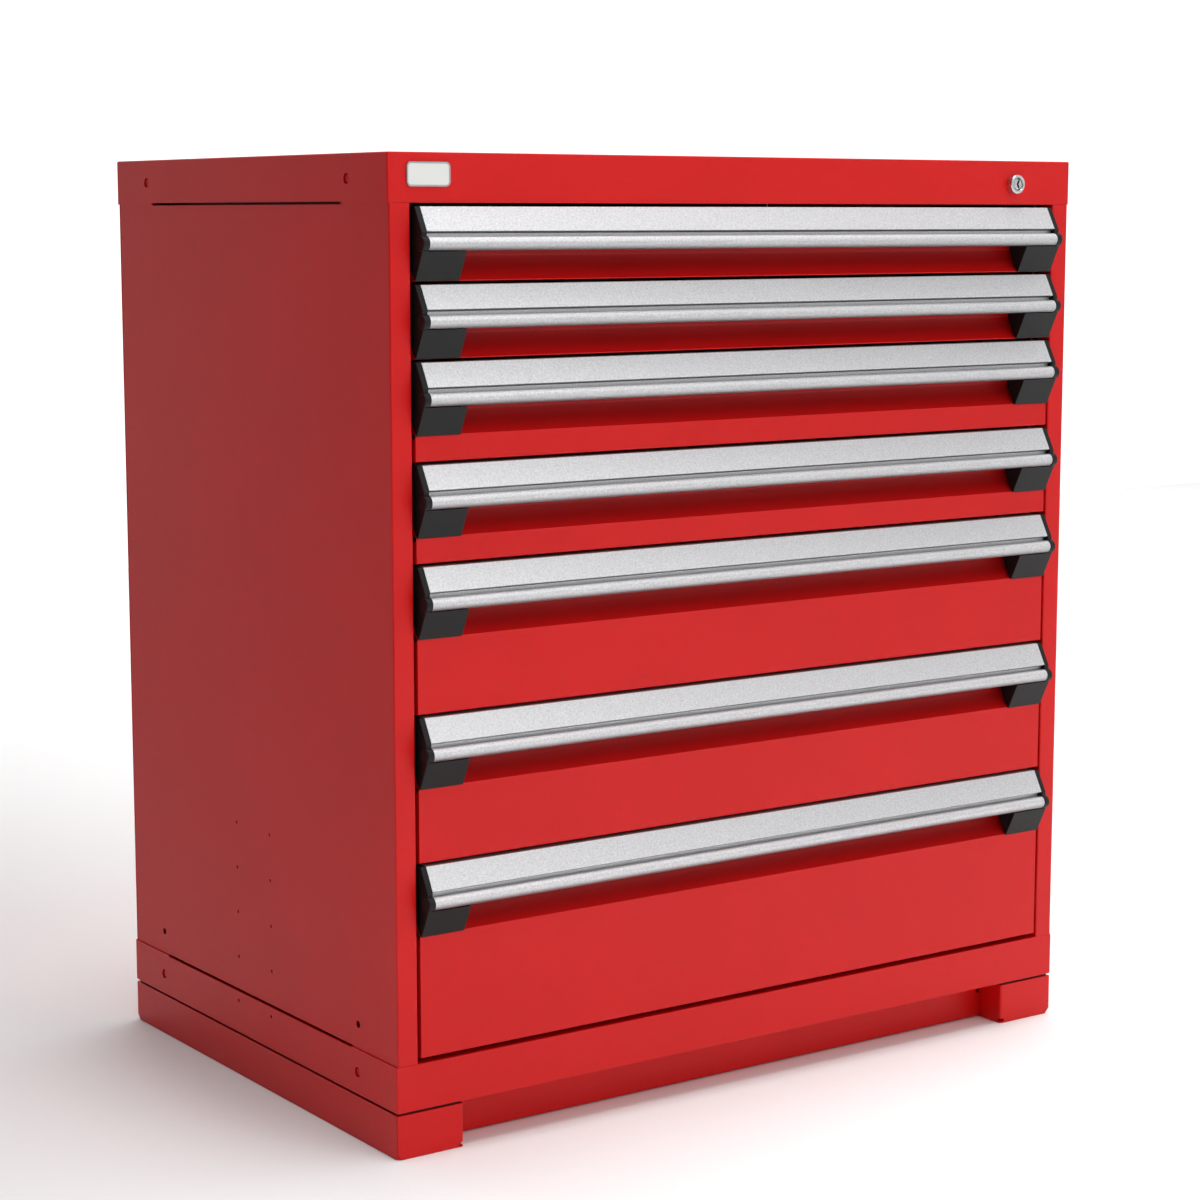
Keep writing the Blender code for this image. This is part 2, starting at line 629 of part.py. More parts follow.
def make_lock_bar():
    """Bar with a hook for each drawer and a slotted arm over the cam's pin, and its two guides."""
    bar = box((BAR_X[0], behind(BAR_Y[0]), BAR_BOTTOM), (BAR_X[1], behind(BAR_Y[1]), ARM_Z[1] - GAP))
    arm = box((ARM_END, behind(ARM_Y[0]), ARM_Z[0]), (BAR_X[1] - GAP, behind(ARM_Y[1]), ARM_Z[1]))
    hooks = []
    for _, top in drawer_levels():
        tip = top - HOOK_REST
        foot = tip - HOOK_HEIGHT
        path = [(behind(HOOK_FRONT), tip), (behind(HOOK_FRONT), foot), (behind(HOOK_ROOT), foot)]
        hooks.append(extrude(fold(path, HOOK_SHEET), ALONG_X, HOOK_X[0], BAR_X[1] - GAP))
    bar = weld(bar, arm, *hooks)
    across, up = PIN_RADIUS + PIN_SLACK[0], PIN_RADIUS + PIN_SLACK[1]
    slot = box((LOCK_X - across, behind(PLUG_BACK + CAM_THICKNESS + GAP), LOCK_Z - up),
               (LOCK_X + PIN_THROW + across, behind(PIN_BACK), LOCK_Z + up))
    finish_piece(cut(bar, slot), "lock_bar", ZINC)
    for place, (low, high) in (("upper", GUIDE_HIGH_Z), ("lower", GUIDE_LOW_Z)):
        guide = box((GUIDE_INNER, behind(GUIDE_Y[0]), low), (UPRIGHT_X[1], behind(GUIDE_Y[1]), high))
        passage = box((BAR_X[0] - GUIDE_SLACK, behind(BAR_Y[0] - GUIDE_SLACK), low - SHEET),
                      (BAR_X[1] + GUIDE_SLACK, behind(BAR_Y[1] + GUIDE_SLACK), high + SHEET))
        finish_piece(cut(guide, passage), f"lock_bar_guide_{place}", PLASTIC)


def make_badge():
    """Plain plate on the cap's front, with round corners."""
    half_u, half_v = (size / 2.0 - BADGE_CORNER for size in BADGE_SIZE)
    outline = []
    for index, (u, v) in enumerate(((1, 1), (-1, 1), (-1, -1), (1, -1))):
        start = 90.0 * index
        outline += arc((u * half_u, v * half_v), BADGE_CORNER, start, start + 90.0, 4)
    outline = shift(outline, *BADGE_CENTRE)
    plate = extrude(outline, ALONG_Y, FRONT - GAP - BADGE_THICKNESS, FRONT - GAP)
    finish_piece(plate, "badge_plate", ENAMEL)


def main():
    """Make all the pieces, from the housing to the badge."""
    cap_slots = slot_cutter(CAP_BOTTOM)
    pan_slots = slot_cutter(PAN_TOP)
    make_cap(cap_slots, lock_rod(-LOCK_PROUD, LOCK_PROUD, BARREL_RADIUS + GAP))
    make_pan(pan_slots)
    make_side_panels(cap_slots, pan_slots)
    make_back_panel()
    make_base()
    make_slide_frames()
    for number, (bottom, top) in enumerate(drawer_levels(), start=1):
        make_drawer(number, bottom, top)
        make_handle(number, top)
        make_middle_slides(number, bottom)
    make_lock()
    make_lock_bar()
    make_badge()


clear_scene()
PARTS = new_collection("tool_chest")
CUTTERS = new_collection("cutters")
main()
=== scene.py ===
"""Looks of a seven-drawer steel tool chest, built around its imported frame.

Every length is in metres, in the frame's own axes: +X is the chest's right-hand side as seen from
its front, -Y its front and +Z up. Sections are drawn in (distance behind the front plane, height).
"""

import logging
import math
from dataclasses import dataclass
from enum import Enum

import bmesh
import bpy
from mathutils import Matrix, Vector


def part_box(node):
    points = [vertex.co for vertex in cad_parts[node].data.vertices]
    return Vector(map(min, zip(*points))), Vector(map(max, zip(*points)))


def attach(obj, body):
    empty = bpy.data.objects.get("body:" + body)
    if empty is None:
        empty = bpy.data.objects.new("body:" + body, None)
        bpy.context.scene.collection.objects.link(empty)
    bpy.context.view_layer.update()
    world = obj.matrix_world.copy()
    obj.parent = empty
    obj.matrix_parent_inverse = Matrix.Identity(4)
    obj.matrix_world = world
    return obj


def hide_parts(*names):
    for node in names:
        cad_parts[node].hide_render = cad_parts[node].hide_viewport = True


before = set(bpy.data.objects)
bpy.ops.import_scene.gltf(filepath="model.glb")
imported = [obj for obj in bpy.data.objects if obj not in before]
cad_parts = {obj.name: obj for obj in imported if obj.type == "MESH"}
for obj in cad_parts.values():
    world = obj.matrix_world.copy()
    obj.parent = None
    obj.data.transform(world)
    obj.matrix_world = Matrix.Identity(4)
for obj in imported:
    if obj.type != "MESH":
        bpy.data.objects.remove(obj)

LOG = logging.getLogger("tool_chest")
Point = tuple[float, float]
Place = tuple[float, float, float]
Object = bpy.types.Object
Socket = bpy.types.NodeSocket

SHEET = 0.0012                  # housing and drawer sheet
GAP = 0.0003                    # between pieces that touch
CLEAR = 0.001                   # how far a small cutter stands out of what it cuts
MERGE = 2e-6                    # points of a node nearer than this are one point
ORIGIN = (0.0, 0.0, 0.0)


class Side(Enum):
    """Side of the chest, as seen from its front; the value is the sign of X."""

    LEFT = -1.0
    RIGHT = 1.0

    @property
    def word(self) -> str:
        """Lower-case name, as the frame's nodes use it."""
        return self.name.lower()


class Run(Enum):
    """Direction that a section is extruded in; a section's own axes are the other two."""

    ALONG_X = "x"
    ALONG_Y = "y"
    ALONG_Z = "z"

    def place(self, u: float, v: float, depth: float) -> Place:
        """Point at (u, v) on the section at this depth."""
        return {"x": (depth, u, v), "y": (u, depth, v), "z": (u, v, depth)}[self.value]


class Slot(Enum):
    """Material slots of the record."""

    RED = "red_powder_coat"
    ALUMINIUM = "aluminium"
    PLASTIC = "black_plastic"
    ZINC = "zinc_steel"
    CHROME = "chrome"
    ENAMEL = "white_enamel"


# ---------------------------------------------------------------- colour and shader nodes

def linear(code: str) -> tuple[float, float, float, float]:
    """Turn an sRGB hex colour into linear RGBA.

    Args:
        code: Six hex digits after a hash.

    Returns:
        Linear red, green, blue and an alpha of one.
    """
    coded = [int(code[i:i + 2], 16) / 255.0 for i in (1, 3, 5)]
    red, green, blue = (value / 12.92 if value <= 0.04045 else ((value + 0.055) / 1.055) ** 2.4
                        for value in coded)
    return (red, green, blue, 1.0)


def add_node(tree: bpy.types.NodeTree, kind: str, links: dict | None = None,
             **settings: object) -> bpy.types.Node:
    """Add a node, set it up and link its inputs.

    Args:
        tree: Node tree that takes the node.
        kind: The node's type name.
        links: Input name or index to a value, or to an output socket that feeds it.
        **settings: Properties of the node itself.

    Returns:
        The new node.
    """
    node = tree.nodes.new(kind)
    for key, value in settings.items():
        setattr(node, key, value)
    for key, value in (links or {}).items():
        if isinstance(value, Socket):
            tree.links.new(value, node.inputs[key])
        else:
            node.inputs[key].default_value = value
    return node


def per_metre(millimetres: float) -> float:
    """Scale of a pattern whose features are this many millimetres apart."""
    return 1000.0 / millimetres


def ranged(value: Socket, given: Point, wanted: Point) -> dict:
    """Inputs that make a Map Range node turn one range of values into another."""
    return dict(zip(("Value", "From Min", "From Max", "To Min", "To Max"),
                    (value, *given, *wanted)))


@dataclass(frozen=True)
class Finish:
    """A surface finish, with one even grain in its gloss, its surface or both.

    Attributes:
        name: Name of the Blender material.
        colour: Main sRGB colour.
        roughness: Mean roughness.
        metallic: One for bare or plated metal.
        specular: Specular level.
        grain: Distance between the grains, in millimetres.
        detail: Levels of finer grain inside it.
        blend: Strength of each finer level.
        stretch: Scale of the grain along Y.
        gloss: How far the roughness goes under and over its mean with the grain.
        gloss_span: Range of the grain's noise over which it does so.
        relief: Strength of the grain in the surface, and its height in metres.
    """

    name: str
    colour: str
    roughness: float
    metallic: float = 0.0
    specular: float = 0.5
    grain: float = 1.0
    detail: float = 2.0
    blend: float = 0.5
    stretch: float = 1.0
    gloss: Point = (0.0, 0.0)
    gloss_span: Point = (0.3, 0.7)
    relief: Point = (0.0, 0.0)

    def tone(self, tree: bpy.types.NodeTree, place: Socket, grain: Socket) -> Socket | float:
        """Brightness that the colour is multiplied by; plain unless a kind of finish varies it."""
        return 1.0

    def build(self) -> bpy.types.Material:
        """Make the material, or find it if it has been made before.

        Returns:
            The material.
        """
        material = bpy.data.materials.get(self.name)
        if material is not None:
            return material
        material = bpy.data.materials.new(self.name)
        material.use_nodes = True
        tree = material.node_tree
        tree.nodes.clear()
        place = add_node(tree, "ShaderNodeTexCoord").outputs["Object"]
        drawn = add_node(tree, "ShaderNodeMapping", {
            "Vector": place, "Scale": (1.0, self.stretch, 1.0)})
        grain = add_node(tree, "ShaderNodeTexNoise", {
            "Vector": drawn.outputs["Vector"], "Scale": per_metre(self.grain),
            "Detail": self.detail, "Roughness": self.blend}).outputs["Fac"]
        tint = add_node(tree, "ShaderNodeHueSaturation", {
            "Value": self.tone(tree, place, grain), "Color": linear(self.colour)})
        wanted = (self.roughness + self.gloss[0], self.roughness + self.gloss[1])
        gloss = add_node(tree, "ShaderNodeMapRange", ranged(grain, self.gloss_span, wanted))
        bump = add_node(tree, "ShaderNodeBump", {
            "Height": grain, "Strength": self.relief[0], "Distance": self.relief[1]})
        shader = add_node(tree, "ShaderNodeBsdfPrincipled", {
            "Base Color": tint.outputs["Color"], "Roughness": gloss.outputs["Result"],
            "Normal": bump.outputs["Normal"], "Metallic": self.metallic,
            "Specular IOR Level": self.specular})
        add_node(tree, "ShaderNodeOutputMaterial", {"Surface": shader.outputs["BSDF"]})
        return material


@dataclass(frozen=True)
class PowderCoat(Finish):
    """Polyester powder baked on steel: an even, semi-gloss skin with a fine orange peel.

    The resin's matting agent keeps its specular level under the plain resin's 0.5.

    Attributes:
        drift: Distance between the slow changes of tone, in millimetres.
        recess: Share of the tone left at the deep end of recess_run: painted shade that darkens
            the colour behind the front plane, where shade falls in a deep recess.
        recess_run: Distances behind the front plane where the painted shade starts and where it
            is darkest.
    """

    specular: float = 0.25
    grain: float = 2.6
    blend: float = 0.45
    gloss: Point = (-0.03, 0.04)
    relief: Point = (1.0, 0.000010)
    drift: float = 140.0
    recess: float = 1.0
    recess_run: Point = (0.001, 0.015)

    def tone(self, tree: bpy.types.NodeTree, place: Socket, grain: Socket) -> Socket | float:
        """Slow drift over the sheet, and painted shade that darkens a deep recess.

        Args:
            tree: Node tree of the material.
            place: Object coordinates.
            grain: The orange peel; not used.

        Returns:
            Brightness that the colour is multiplied by.
        """
        clouds = add_node(tree, "ShaderNodeTexNoise", {
            "Vector": place, "Scale": per_metre(self.drift), "Detail": 3.0})
        drift = add_node(tree, "ShaderNodeMapRange", ranged(
            clouds.outputs["Fac"], (0.3, 0.7), (0.965, 1.03)))
        # Painted shade: the colour darkens with distance behind the front plane, for a recess's
        # shade.
        depth = add_node(tree, "ShaderNodeSeparateXYZ", {"Vector": place}).outputs["Y"]
        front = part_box("top_cap")[0].y
        run = (front + self.recess_run[0], front + self.recess_run[1])
        recess_shade = add_node(tree, "ShaderNodeMapRange", ranged(depth, run, (1.0, self.recess)))
        return add_node(tree, "ShaderNodeMath", {
            0: drift.outputs["Result"], 1: recess_shade.outputs["Result"]},
            operation="MULTIPLY").outputs[0]


@dataclass(frozen=True)
class BlastedAluminium(Finish):
    """Extruded aluminium, sand-blasted and clear anodised: bright and matt, with a fine sparkle.

    The blast's real craters are 0.2 mm apart and are drawn coarser, to show at arm's length.

    Attributes:
        underside: Share of the brightness left on faces that look down: painted shade, for the
        light from above that reaches them least.
    """

    metallic: float = 1.0
    grain: float = 1.8
    blend: float = 0.6
    relief: Point = (0.8, 0.00003)
    underside: float = 0.36

    def tone(self, tree: bpy.types.NodeTree, place: Socket, grain: Socket) -> Socket | float:
        """Speckle from the craters, and painted shade on faces that look down.

        Args:
            tree: Node tree of the material.
            place: Object coordinates; not used.
            grain: The craters.

        Returns:
            Brightness that the colour is multiplied by.
        """
        speck = add_node(tree, "ShaderNodeMapRange", ranged(grain, (0.25, 0.75), (0.78, 1.10)))
        # Painted shade: faces that look down are darkened by the height of their normal.
        facing = add_node(tree, "ShaderNodeTexCoord").outputs["Normal"]
        rise = add_node(tree, "ShaderNodeSeparateXYZ", {"Vector": facing}).outputs["Z"]
        reach = add_node(tree, "ShaderNodeMapRange", ranged(
            rise, (-0.9, 0.4), (self.underside, 1.0)), interpolation_type="SMOOTHSTEP")
        return add_node(tree, "ShaderNodeMath", {
            0: speck.outputs["Result"], 1: reach.outputs["Result"]},
            operation="MULTIPLY").outputs[0]


@dataclass(frozen=True)
class ZincPlate(Finish):
    """Cold-rolled steel, bright zinc plated: grey and cool, with faint rolling lines and clouds.

    Attributes:
        cloud: Size of the plating's clouds, in millimetres.
    """

    metallic: float = 1.0
    grain: float = 0.8
    stretch: float = 0.02
    gloss: Point = (-0.08, 0.10)
    cloud: float = 22.0

    def tone(self, tree: bpy.types.NodeTree, place: Socket, grain: Socket) -> Socket | float:
        """Clouds of the plating.

        Args:
            tree: Node tree of the material.
            place: Object coordinates.
            grain: The rolling lines; not used.

        Returns:
            Brightness that the colour is multiplied by.
        """
        clouds = add_node(tree, "ShaderNodeTexNoise", {
            "Vector": place, "Scale": per_metre(self.cloud), "Detail": 4.0})
        return add_node(tree, "ShaderNodeMapRange", ranged(
            clouds.outputs["Fac"], (0.3, 0.7), (0.88, 1.06))).outputs["Result"]


@dataclass(frozen=True)
class MouldedPlastic(Finish):
    """Glass-filled nylon, moulded in a spark-eroded tool: dark, dull and slightly grained."""

    specular: float = 0.3
    grain: float = 0.9
    detail: float = 3.0
    gloss: Point = (-0.06, 0.08)
    relief: Point = (0.7, 0.00003)


@dataclass(frozen=True)
class PolishedChrome(Finish):
    """Die-cast zinc, nickel and chrome plated: mirror bright, with its faces' turning marks."""

    metallic: float = 1.0
    grain: float = 0.5
    detail: float = 1.0
    gloss: Point = (0.0, 0.08)


@dataclass(frozen=True)
class Enamel(Finish):
    """Stove enamel on a stamped plate: smooth, with the slow waves of the poured coat."""

    grain: float = 9.0
    detail: float = 1.0
    relief: Point = (0.4, 0.00005)


@dataclass(frozen=True)
class StudioFloor(Finish):
    """Painted studio floor: pale and matt, with barely visible roller marks."""

    specular: float = 0.2
    grain: float = 60.0
    gloss: Point = (-0.04, 0.04)
    gloss_span: Point = (0.0, 1.0)


RED = PowderCoat("polyester_powder_coat_red", "#d21010", 0.38)
# Fronts' coat: its recess setting paints shade into the hand recess behind the front plane.
RED_FRONT = PowderCoat("polyester_powder_coat_red_fronts", "#d21010", 0.38, recess=0.5)
ALUMINIUM = BlastedAluminium("aluminium_blasted_anodised", "#e4e4e6", 0.50)
NYLON = MouldedPlastic("nylon_moulded_black", "#0e0f0f", 0.52)
ROLLER = MouldedPlastic("acetal_moulded_ivory", "#d9d4c6", 0.40)
ZINC = ZincPlate("steel_zinc_plated", "#b9bcbe", 0.36)
CHROME = PolishedChrome("zinc_die_cast_chromed", "#cfd1d2", 0.22)
WHITE = Enamel("stove_enamel_white", "#e8e8e4", 0.30)
# Near-black, for the block in the lock's keyway: painted shadow.
SHADOW = MouldedPlastic("keyway_darkened_brass", "#0a0a0a", 0.60)
FLOOR = StudioFloor("studio_floor_paint", "#f2f2f2", 0.92)


# ---------------------------------------------------------------- outlines

def arc(centre: Point, radius: float, start: float, end: float, steps: int) -> list[Point]:
    """Points on an arc.

    Args:
        centre: Centre of the circle.
        radius: Its radius.
        start: First angle in degrees, from +u towards +v.
        end: Last angle in degrees.
        steps: Number of chords.

    Returns:
        The points, with both ends.
    """
    angles = [math.radians(start + (end - start) * index / steps) for index in range(steps + 1)]
    return [(centre[0] + radius * math.cos(a), centre[1] + radius * math.sin(a)) for a in angles]


def ring(centre: Point, radius: float, sides: int) -> list[Point]:
    """Corners of a regular polygon."""
    return arc(centre, radius, 0.0, 360.0 - 360.0 / sides, sides - 1)


def eased(points: list[Point], radius: float, closed: bool = False, steps: int = 4) -> list[Point]:
    """Round the corners of an outline.

    Args:
        points: Corners of the outline.
        radius: Radius of the rounding, which shrinks where a side is too short for it.
        closed: Whether the last corner joins the first.
        steps: Chords in each rounding.

    Returns:
        The outline with its corners rounded; a bend under eight degrees is left as it is.
    """
    corners = [Vector(point) for point in points]
    result: list[Point] = []
    for index, corner in enumerate(corners):
        before = corners[index - 1] - corner
        after = corners[(index + 1) % len(corners)] - corner
        opening = before.angle(after)
        at_end = not closed and index in (0, len(corners) - 1)
        if at_end or math.pi - opening < math.radians(8.0):
            result.append(tuple(corner))
            continue
        reach = min(radius / math.tan(opening / 2.0), before.length * 0.49, after.length * 0.49)
        round_radius = reach * math.tan(opening / 2.0)
        middle = (before.normalized() + after.normalized()).normalized()
        centre = corner + middle * (round_radius / math.sin(opening / 2.0))
        first = corner + before.normalized() * reach - centre
        last = corner + after.normalized() * reach - centre
        turn = math.atan2(first.x * last.y - first.y * last.x, first.dot(last))
        start = math.degrees(math.atan2(first.y, first.x))
        result += arc(centre, round_radius, start, start + math.degrees(turn), steps)
    return result


def folded(path: list[Point], thickness: float) -> list[Point]:
    """Closed outline of a sheet folded along a path.

    Args:
        path: Outer face of the sheet, which lies on the path's left.
        thickness: Thickness of the sheet.

    Returns:
        The outline, down one face and back up the other.
    """
    points = [Vector(point) for point in path]
    steps = [(b - a).normalized() for a, b in zip(points, points[1:])]
    lefts = [Vector((-step.y, step.x)) for step in steps]
    inner = [points[0] + lefts[0] * thickness]
    for point, before, after in zip(points[1:], lefts, lefts[1:]):
        miter = (before + after).normalized()
        inner.append(point + miter * (thickness / miter.dot(after)))
    inner.append(points[-1] + lefts[-1] * thickness)
    return [tuple(point) for point in points + inner[::-1]]


def shifted(outline: list[Point], u: float, v: float) -> list[Point]:
    """Outline moved by (u, v)."""
    return [(point[0] + u, point[1] + v) for point in outline]


# ---------------------------------------------------------------- meshes

def new_object(name: str, shape: bmesh.types.BMesh) -> Object:
    """Object with this shape as its mesh, linked to the scene.

    Args:
        name: Name of the object and the mesh.
        shape: Shape, which is freed.

    Returns:
        The object, at the origin.
    """
    mesh = bpy.data.meshes.new(name)
    shape.to_mesh(mesh)
    shape.free()
    item = bpy.data.objects.new(name, mesh)
    bpy.context.scene.collection.objects.link(item)
    return item


def baked(item: Object) -> Object:
    """Apply an object's modifiers.

    Args:
        item: Object whose modifiers are applied.

    Returns:
        The same object, with the evaluated mesh and no modifiers.
    """
    bpy.context.view_layer.update()
    depsgraph = bpy.context.evaluated_depsgraph_get()
    mesh = bpy.data.meshes.new_from_object(item.evaluated_get(depsgraph), depsgraph=depsgraph)
    item.modifiers.clear()
    old = item.data
    item.data = mesh
    bpy.data.meshes.remove(old)
    mesh.name = item.name
    return item


def prism(name: str, run: Run, ends: Point, *outlines: list[Point]) -> Object:
    """Solid with a constant section.

    Args:
        name: Name of the object.
        run: Direction of the extrusion.
        ends: Levels of its first and last end.
        *outlines: Closed outlines of the section, clear of each other.

    Returns:
        The solid, its faces pointing out.
    """
    shape = bmesh.new()
    step = Vector(run.place(0.0, 0.0, ends[1] - ends[0]))
    for outline in outlines:
        face = shape.faces.new([shape.verts.new(run.place(u, v, ends[0])) for u, v in outline])
        extruded = bmesh.ops.extrude_face_region(shape, geom=[face])["geom"]
        moved = [item for item in extruded if isinstance(item, bmesh.types.BMVert)]
        bmesh.ops.translate(shape, vec=step, verts=moved)
    bmesh.ops.recalc_face_normals(shape, faces=shape.faces)
    return new_object(name, shape)


def block(name: str, low: Place, high: Place) -> Object:
    """Box between two corners, used to cut and to build from.

    Args:
        name: Name of the object.
        low: Its lowest corner.
        high: Its highest corner.

    Returns:
        The box.
    """
    low_v, high_v = Vector(low), Vector(high)
    shape = bmesh.new()
    bmesh.ops.create_cube(shape, size=1.0)
    bmesh.ops.scale(shape, vec=high_v - low_v, verts=shape.verts)
    bmesh.ops.translate(shape, vec=(low_v + high_v) / 2.0, verts=shape.verts)
    return new_object(name, shape)


def pan(name: str, low: Vector, high: Vector, opening: Place, radius: float) -> Object:
    """Pan folded from sheet, with rounded bends and one side open.

    Args:
        name: Name of the object.
        low: Lowest corner of its outside.
        high: Highest corner of its outside.
        opening: Direction that the open side faces.
        radius: Outer radius of the bends.

    Returns:
        The pan, as one closed body.
    """
    item = block(name, low, high)
    shape = bmesh.new()
    shape.from_mesh(item.data)
    shape.normal_update()
    lids = [face for face in shape.faces if face.normal.dot(Vector(opening)) > 0.9]
    bmesh.ops.delete(shape, geom=lids, context="FACES_ONLY")
    bends = [edge for edge in shape.edges if len(edge.link_faces) == 2]
    bmesh.ops.bevel(shape, geom=bends, offset=radius, segments=4, profile=0.5, affect="EDGES")
    shape.to_mesh(item.data)
    shape.free()
    solidify = item.modifiers.new("wall", "SOLIDIFY")
    solidify.thickness = SHEET
    solidify.offset = -1.0
    solidify.use_even_offset = True
    return baked(item)


def turned(name: str, profile: list[Point], run: Run, centre: Place, steps: int) -> Object:
    """Solid of revolution.

    Args:
        name: Name of the object.
        profile: Half section as (distance along the axis, radius), from axis to axis, or a closed
            loop clear of the axis whose first point is repeated at its end.
        run: Direction of the axis.
        centre: Point that the distances along the axis are counted from.
        steps: Sides round the axis.

    Returns:
        The solid, its faces pointing out.
    """
    axis = Vector(run.place(0.0, 0.0, 1.0))
    across = Vector(run.place(1.0, 0.0, 0.0))
    shape = bmesh.new()
    line = [shape.verts.new(Vector(centre) + axis * along + across * radius)
            for along, radius in profile]
    edges = [shape.edges.new(pair) for pair in zip(line, line[1:])]
    bmesh.ops.spin(shape, geom=line + edges, cent=centre, axis=axis, angle=math.tau, steps=steps,
                   use_merge=True, use_duplicate=False)
    bmesh.ops.remove_doubles(shape, verts=shape.verts, dist=1e-6)
    bmesh.ops.recalc_face_normals(shape, faces=shape.faces)
    return new_object(name, shape)


def combined(item: Object, others: tuple[Object, ...], operation: str) -> Object:
    """Apply a Boolean with each of the other shapes, which are removed.

    Args:
        item: Piece that is changed.
        others: Closed shapes.
        operation: Blender's name of the operation.

    Returns:
        The changed piece.
    """
    for other in others:
        boolean = item.modifiers.new("boolean", "BOOLEAN")
        boolean.operation = operation
        boolean.solver = "EXACT"
        boolean.object = other
        baked(item)
        bpy.data.objects.remove(other)
    return item


def cut(item: Object, *cutters: Object) -> Object:
    """Piece with the cutters taken away from it."""
    return combined(item, cutters, "DIFFERENCE")


def joined(item: Object, *others: Object) -> Object:
    """Union of pieces that overlap."""
    return combined(item, others, "UNION")


def softened(item: Object, edge: float = 0.0, angle: float = 35.0) -> Object:
    """Break the sharp edges and shade the piece.

    Args:
        item: Piece to finish.
        edge: Width of the broken edges, or zero for none.
        angle: Bends sharper than this many degrees are edges.

    Returns:
        The piece, with flat faces that shade flat and bends that shade smooth.
    """
    if edge > 0.0:
        bevel = item.modifiers.new("edge", "BEVEL")
        bevel.width = edge
        bevel.segments = 2
        bevel.limit_method = "ANGLE"
        bevel.angle_limit = math.radians(angle)
        bevel.use_clamp_overlap = True
        baked(item)
    item.data.shade_smooth()
    item.data.set_sharp_from_angle(angle=math.radians(angle))
    weighted = item.modifiers.new("normals", "WEIGHTED_NORMAL")
    weighted.keep_sharp = True
    weighted.weight = 50
    return baked(item)


def node_shape(node: str) -> bmesh.types.BMesh:
    """Shape of a node of the frame, with whole flat faces.

    Args:
        node: Node that is copied.

    Returns:
        The shape.
    """
    shape = bmesh.new()
    shape.from_mesh(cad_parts[node].data)
    bmesh.ops.remove_doubles(shape, verts=shape.verts, dist=MERGE)
    bmesh.ops.dissolve_limit(shape, angle_limit=math.radians(0.5), verts=shape.verts,
                             edges=shape.edges)
    return shape


def from_node(name: str, node: str, edge: float) -> Object:
    """Copy of a node of the frame, with broken edges of this width."""
    return softened(new_object(name, node_shape(node)), edge)


def dress(item: Object, finish: Finish, slot: Slot, body: str, *nodes: str) -> None:
    """Give a finished piece its material and its place in the frame.

    Args:
        item: The piece.
        finish: Its finish.
        slot: Material slot of the record that it belongs to; not used.
        body: Body that it rides on.
        *nodes: Nodes of the frame that it stands for.
    """
    item.data.materials.clear()
    item.data.materials.append(finish.build())
    if nodes:
        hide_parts(*nodes)
    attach(item, body)
    LOG.info("%s: %d faces, rides on %s", item.name, len(item.data.polygons), body)


def dress_pair(item: Object, finish: Finish, slot: Slot, body: str, *nodes: str) -> None:
    """Dress a right-hand piece, and a mirrored copy of it for the left-hand side.

    Args:
        item: The right-hand piece, with "right" in its name.
        finish: Finish of both.
        slot: Material slot of the record that both belong to.
        body: Body that both ride on.
        *nodes: Nodes that the right-hand piece stands for, with "right" in their names.
    """
    name, *others = (word.replace("right", "left") for word in (item.name, *nodes))
    mesh = item.data.copy()
    mesh.name = name
    mesh.transform(Matrix.Scale(-1.0, 4, (1.0, 0.0, 0.0)))
    mesh.flip_normals()
    copy = bpy.data.objects.new(name, mesh)
    bpy.context.scene.collection.objects.link(copy)
    dress(softened(copy), finish, slot, body, *others)
    dress(item, finish, slot, body, *nodes)


# ---------------------------------------------------------------- repeats by geometry nodes

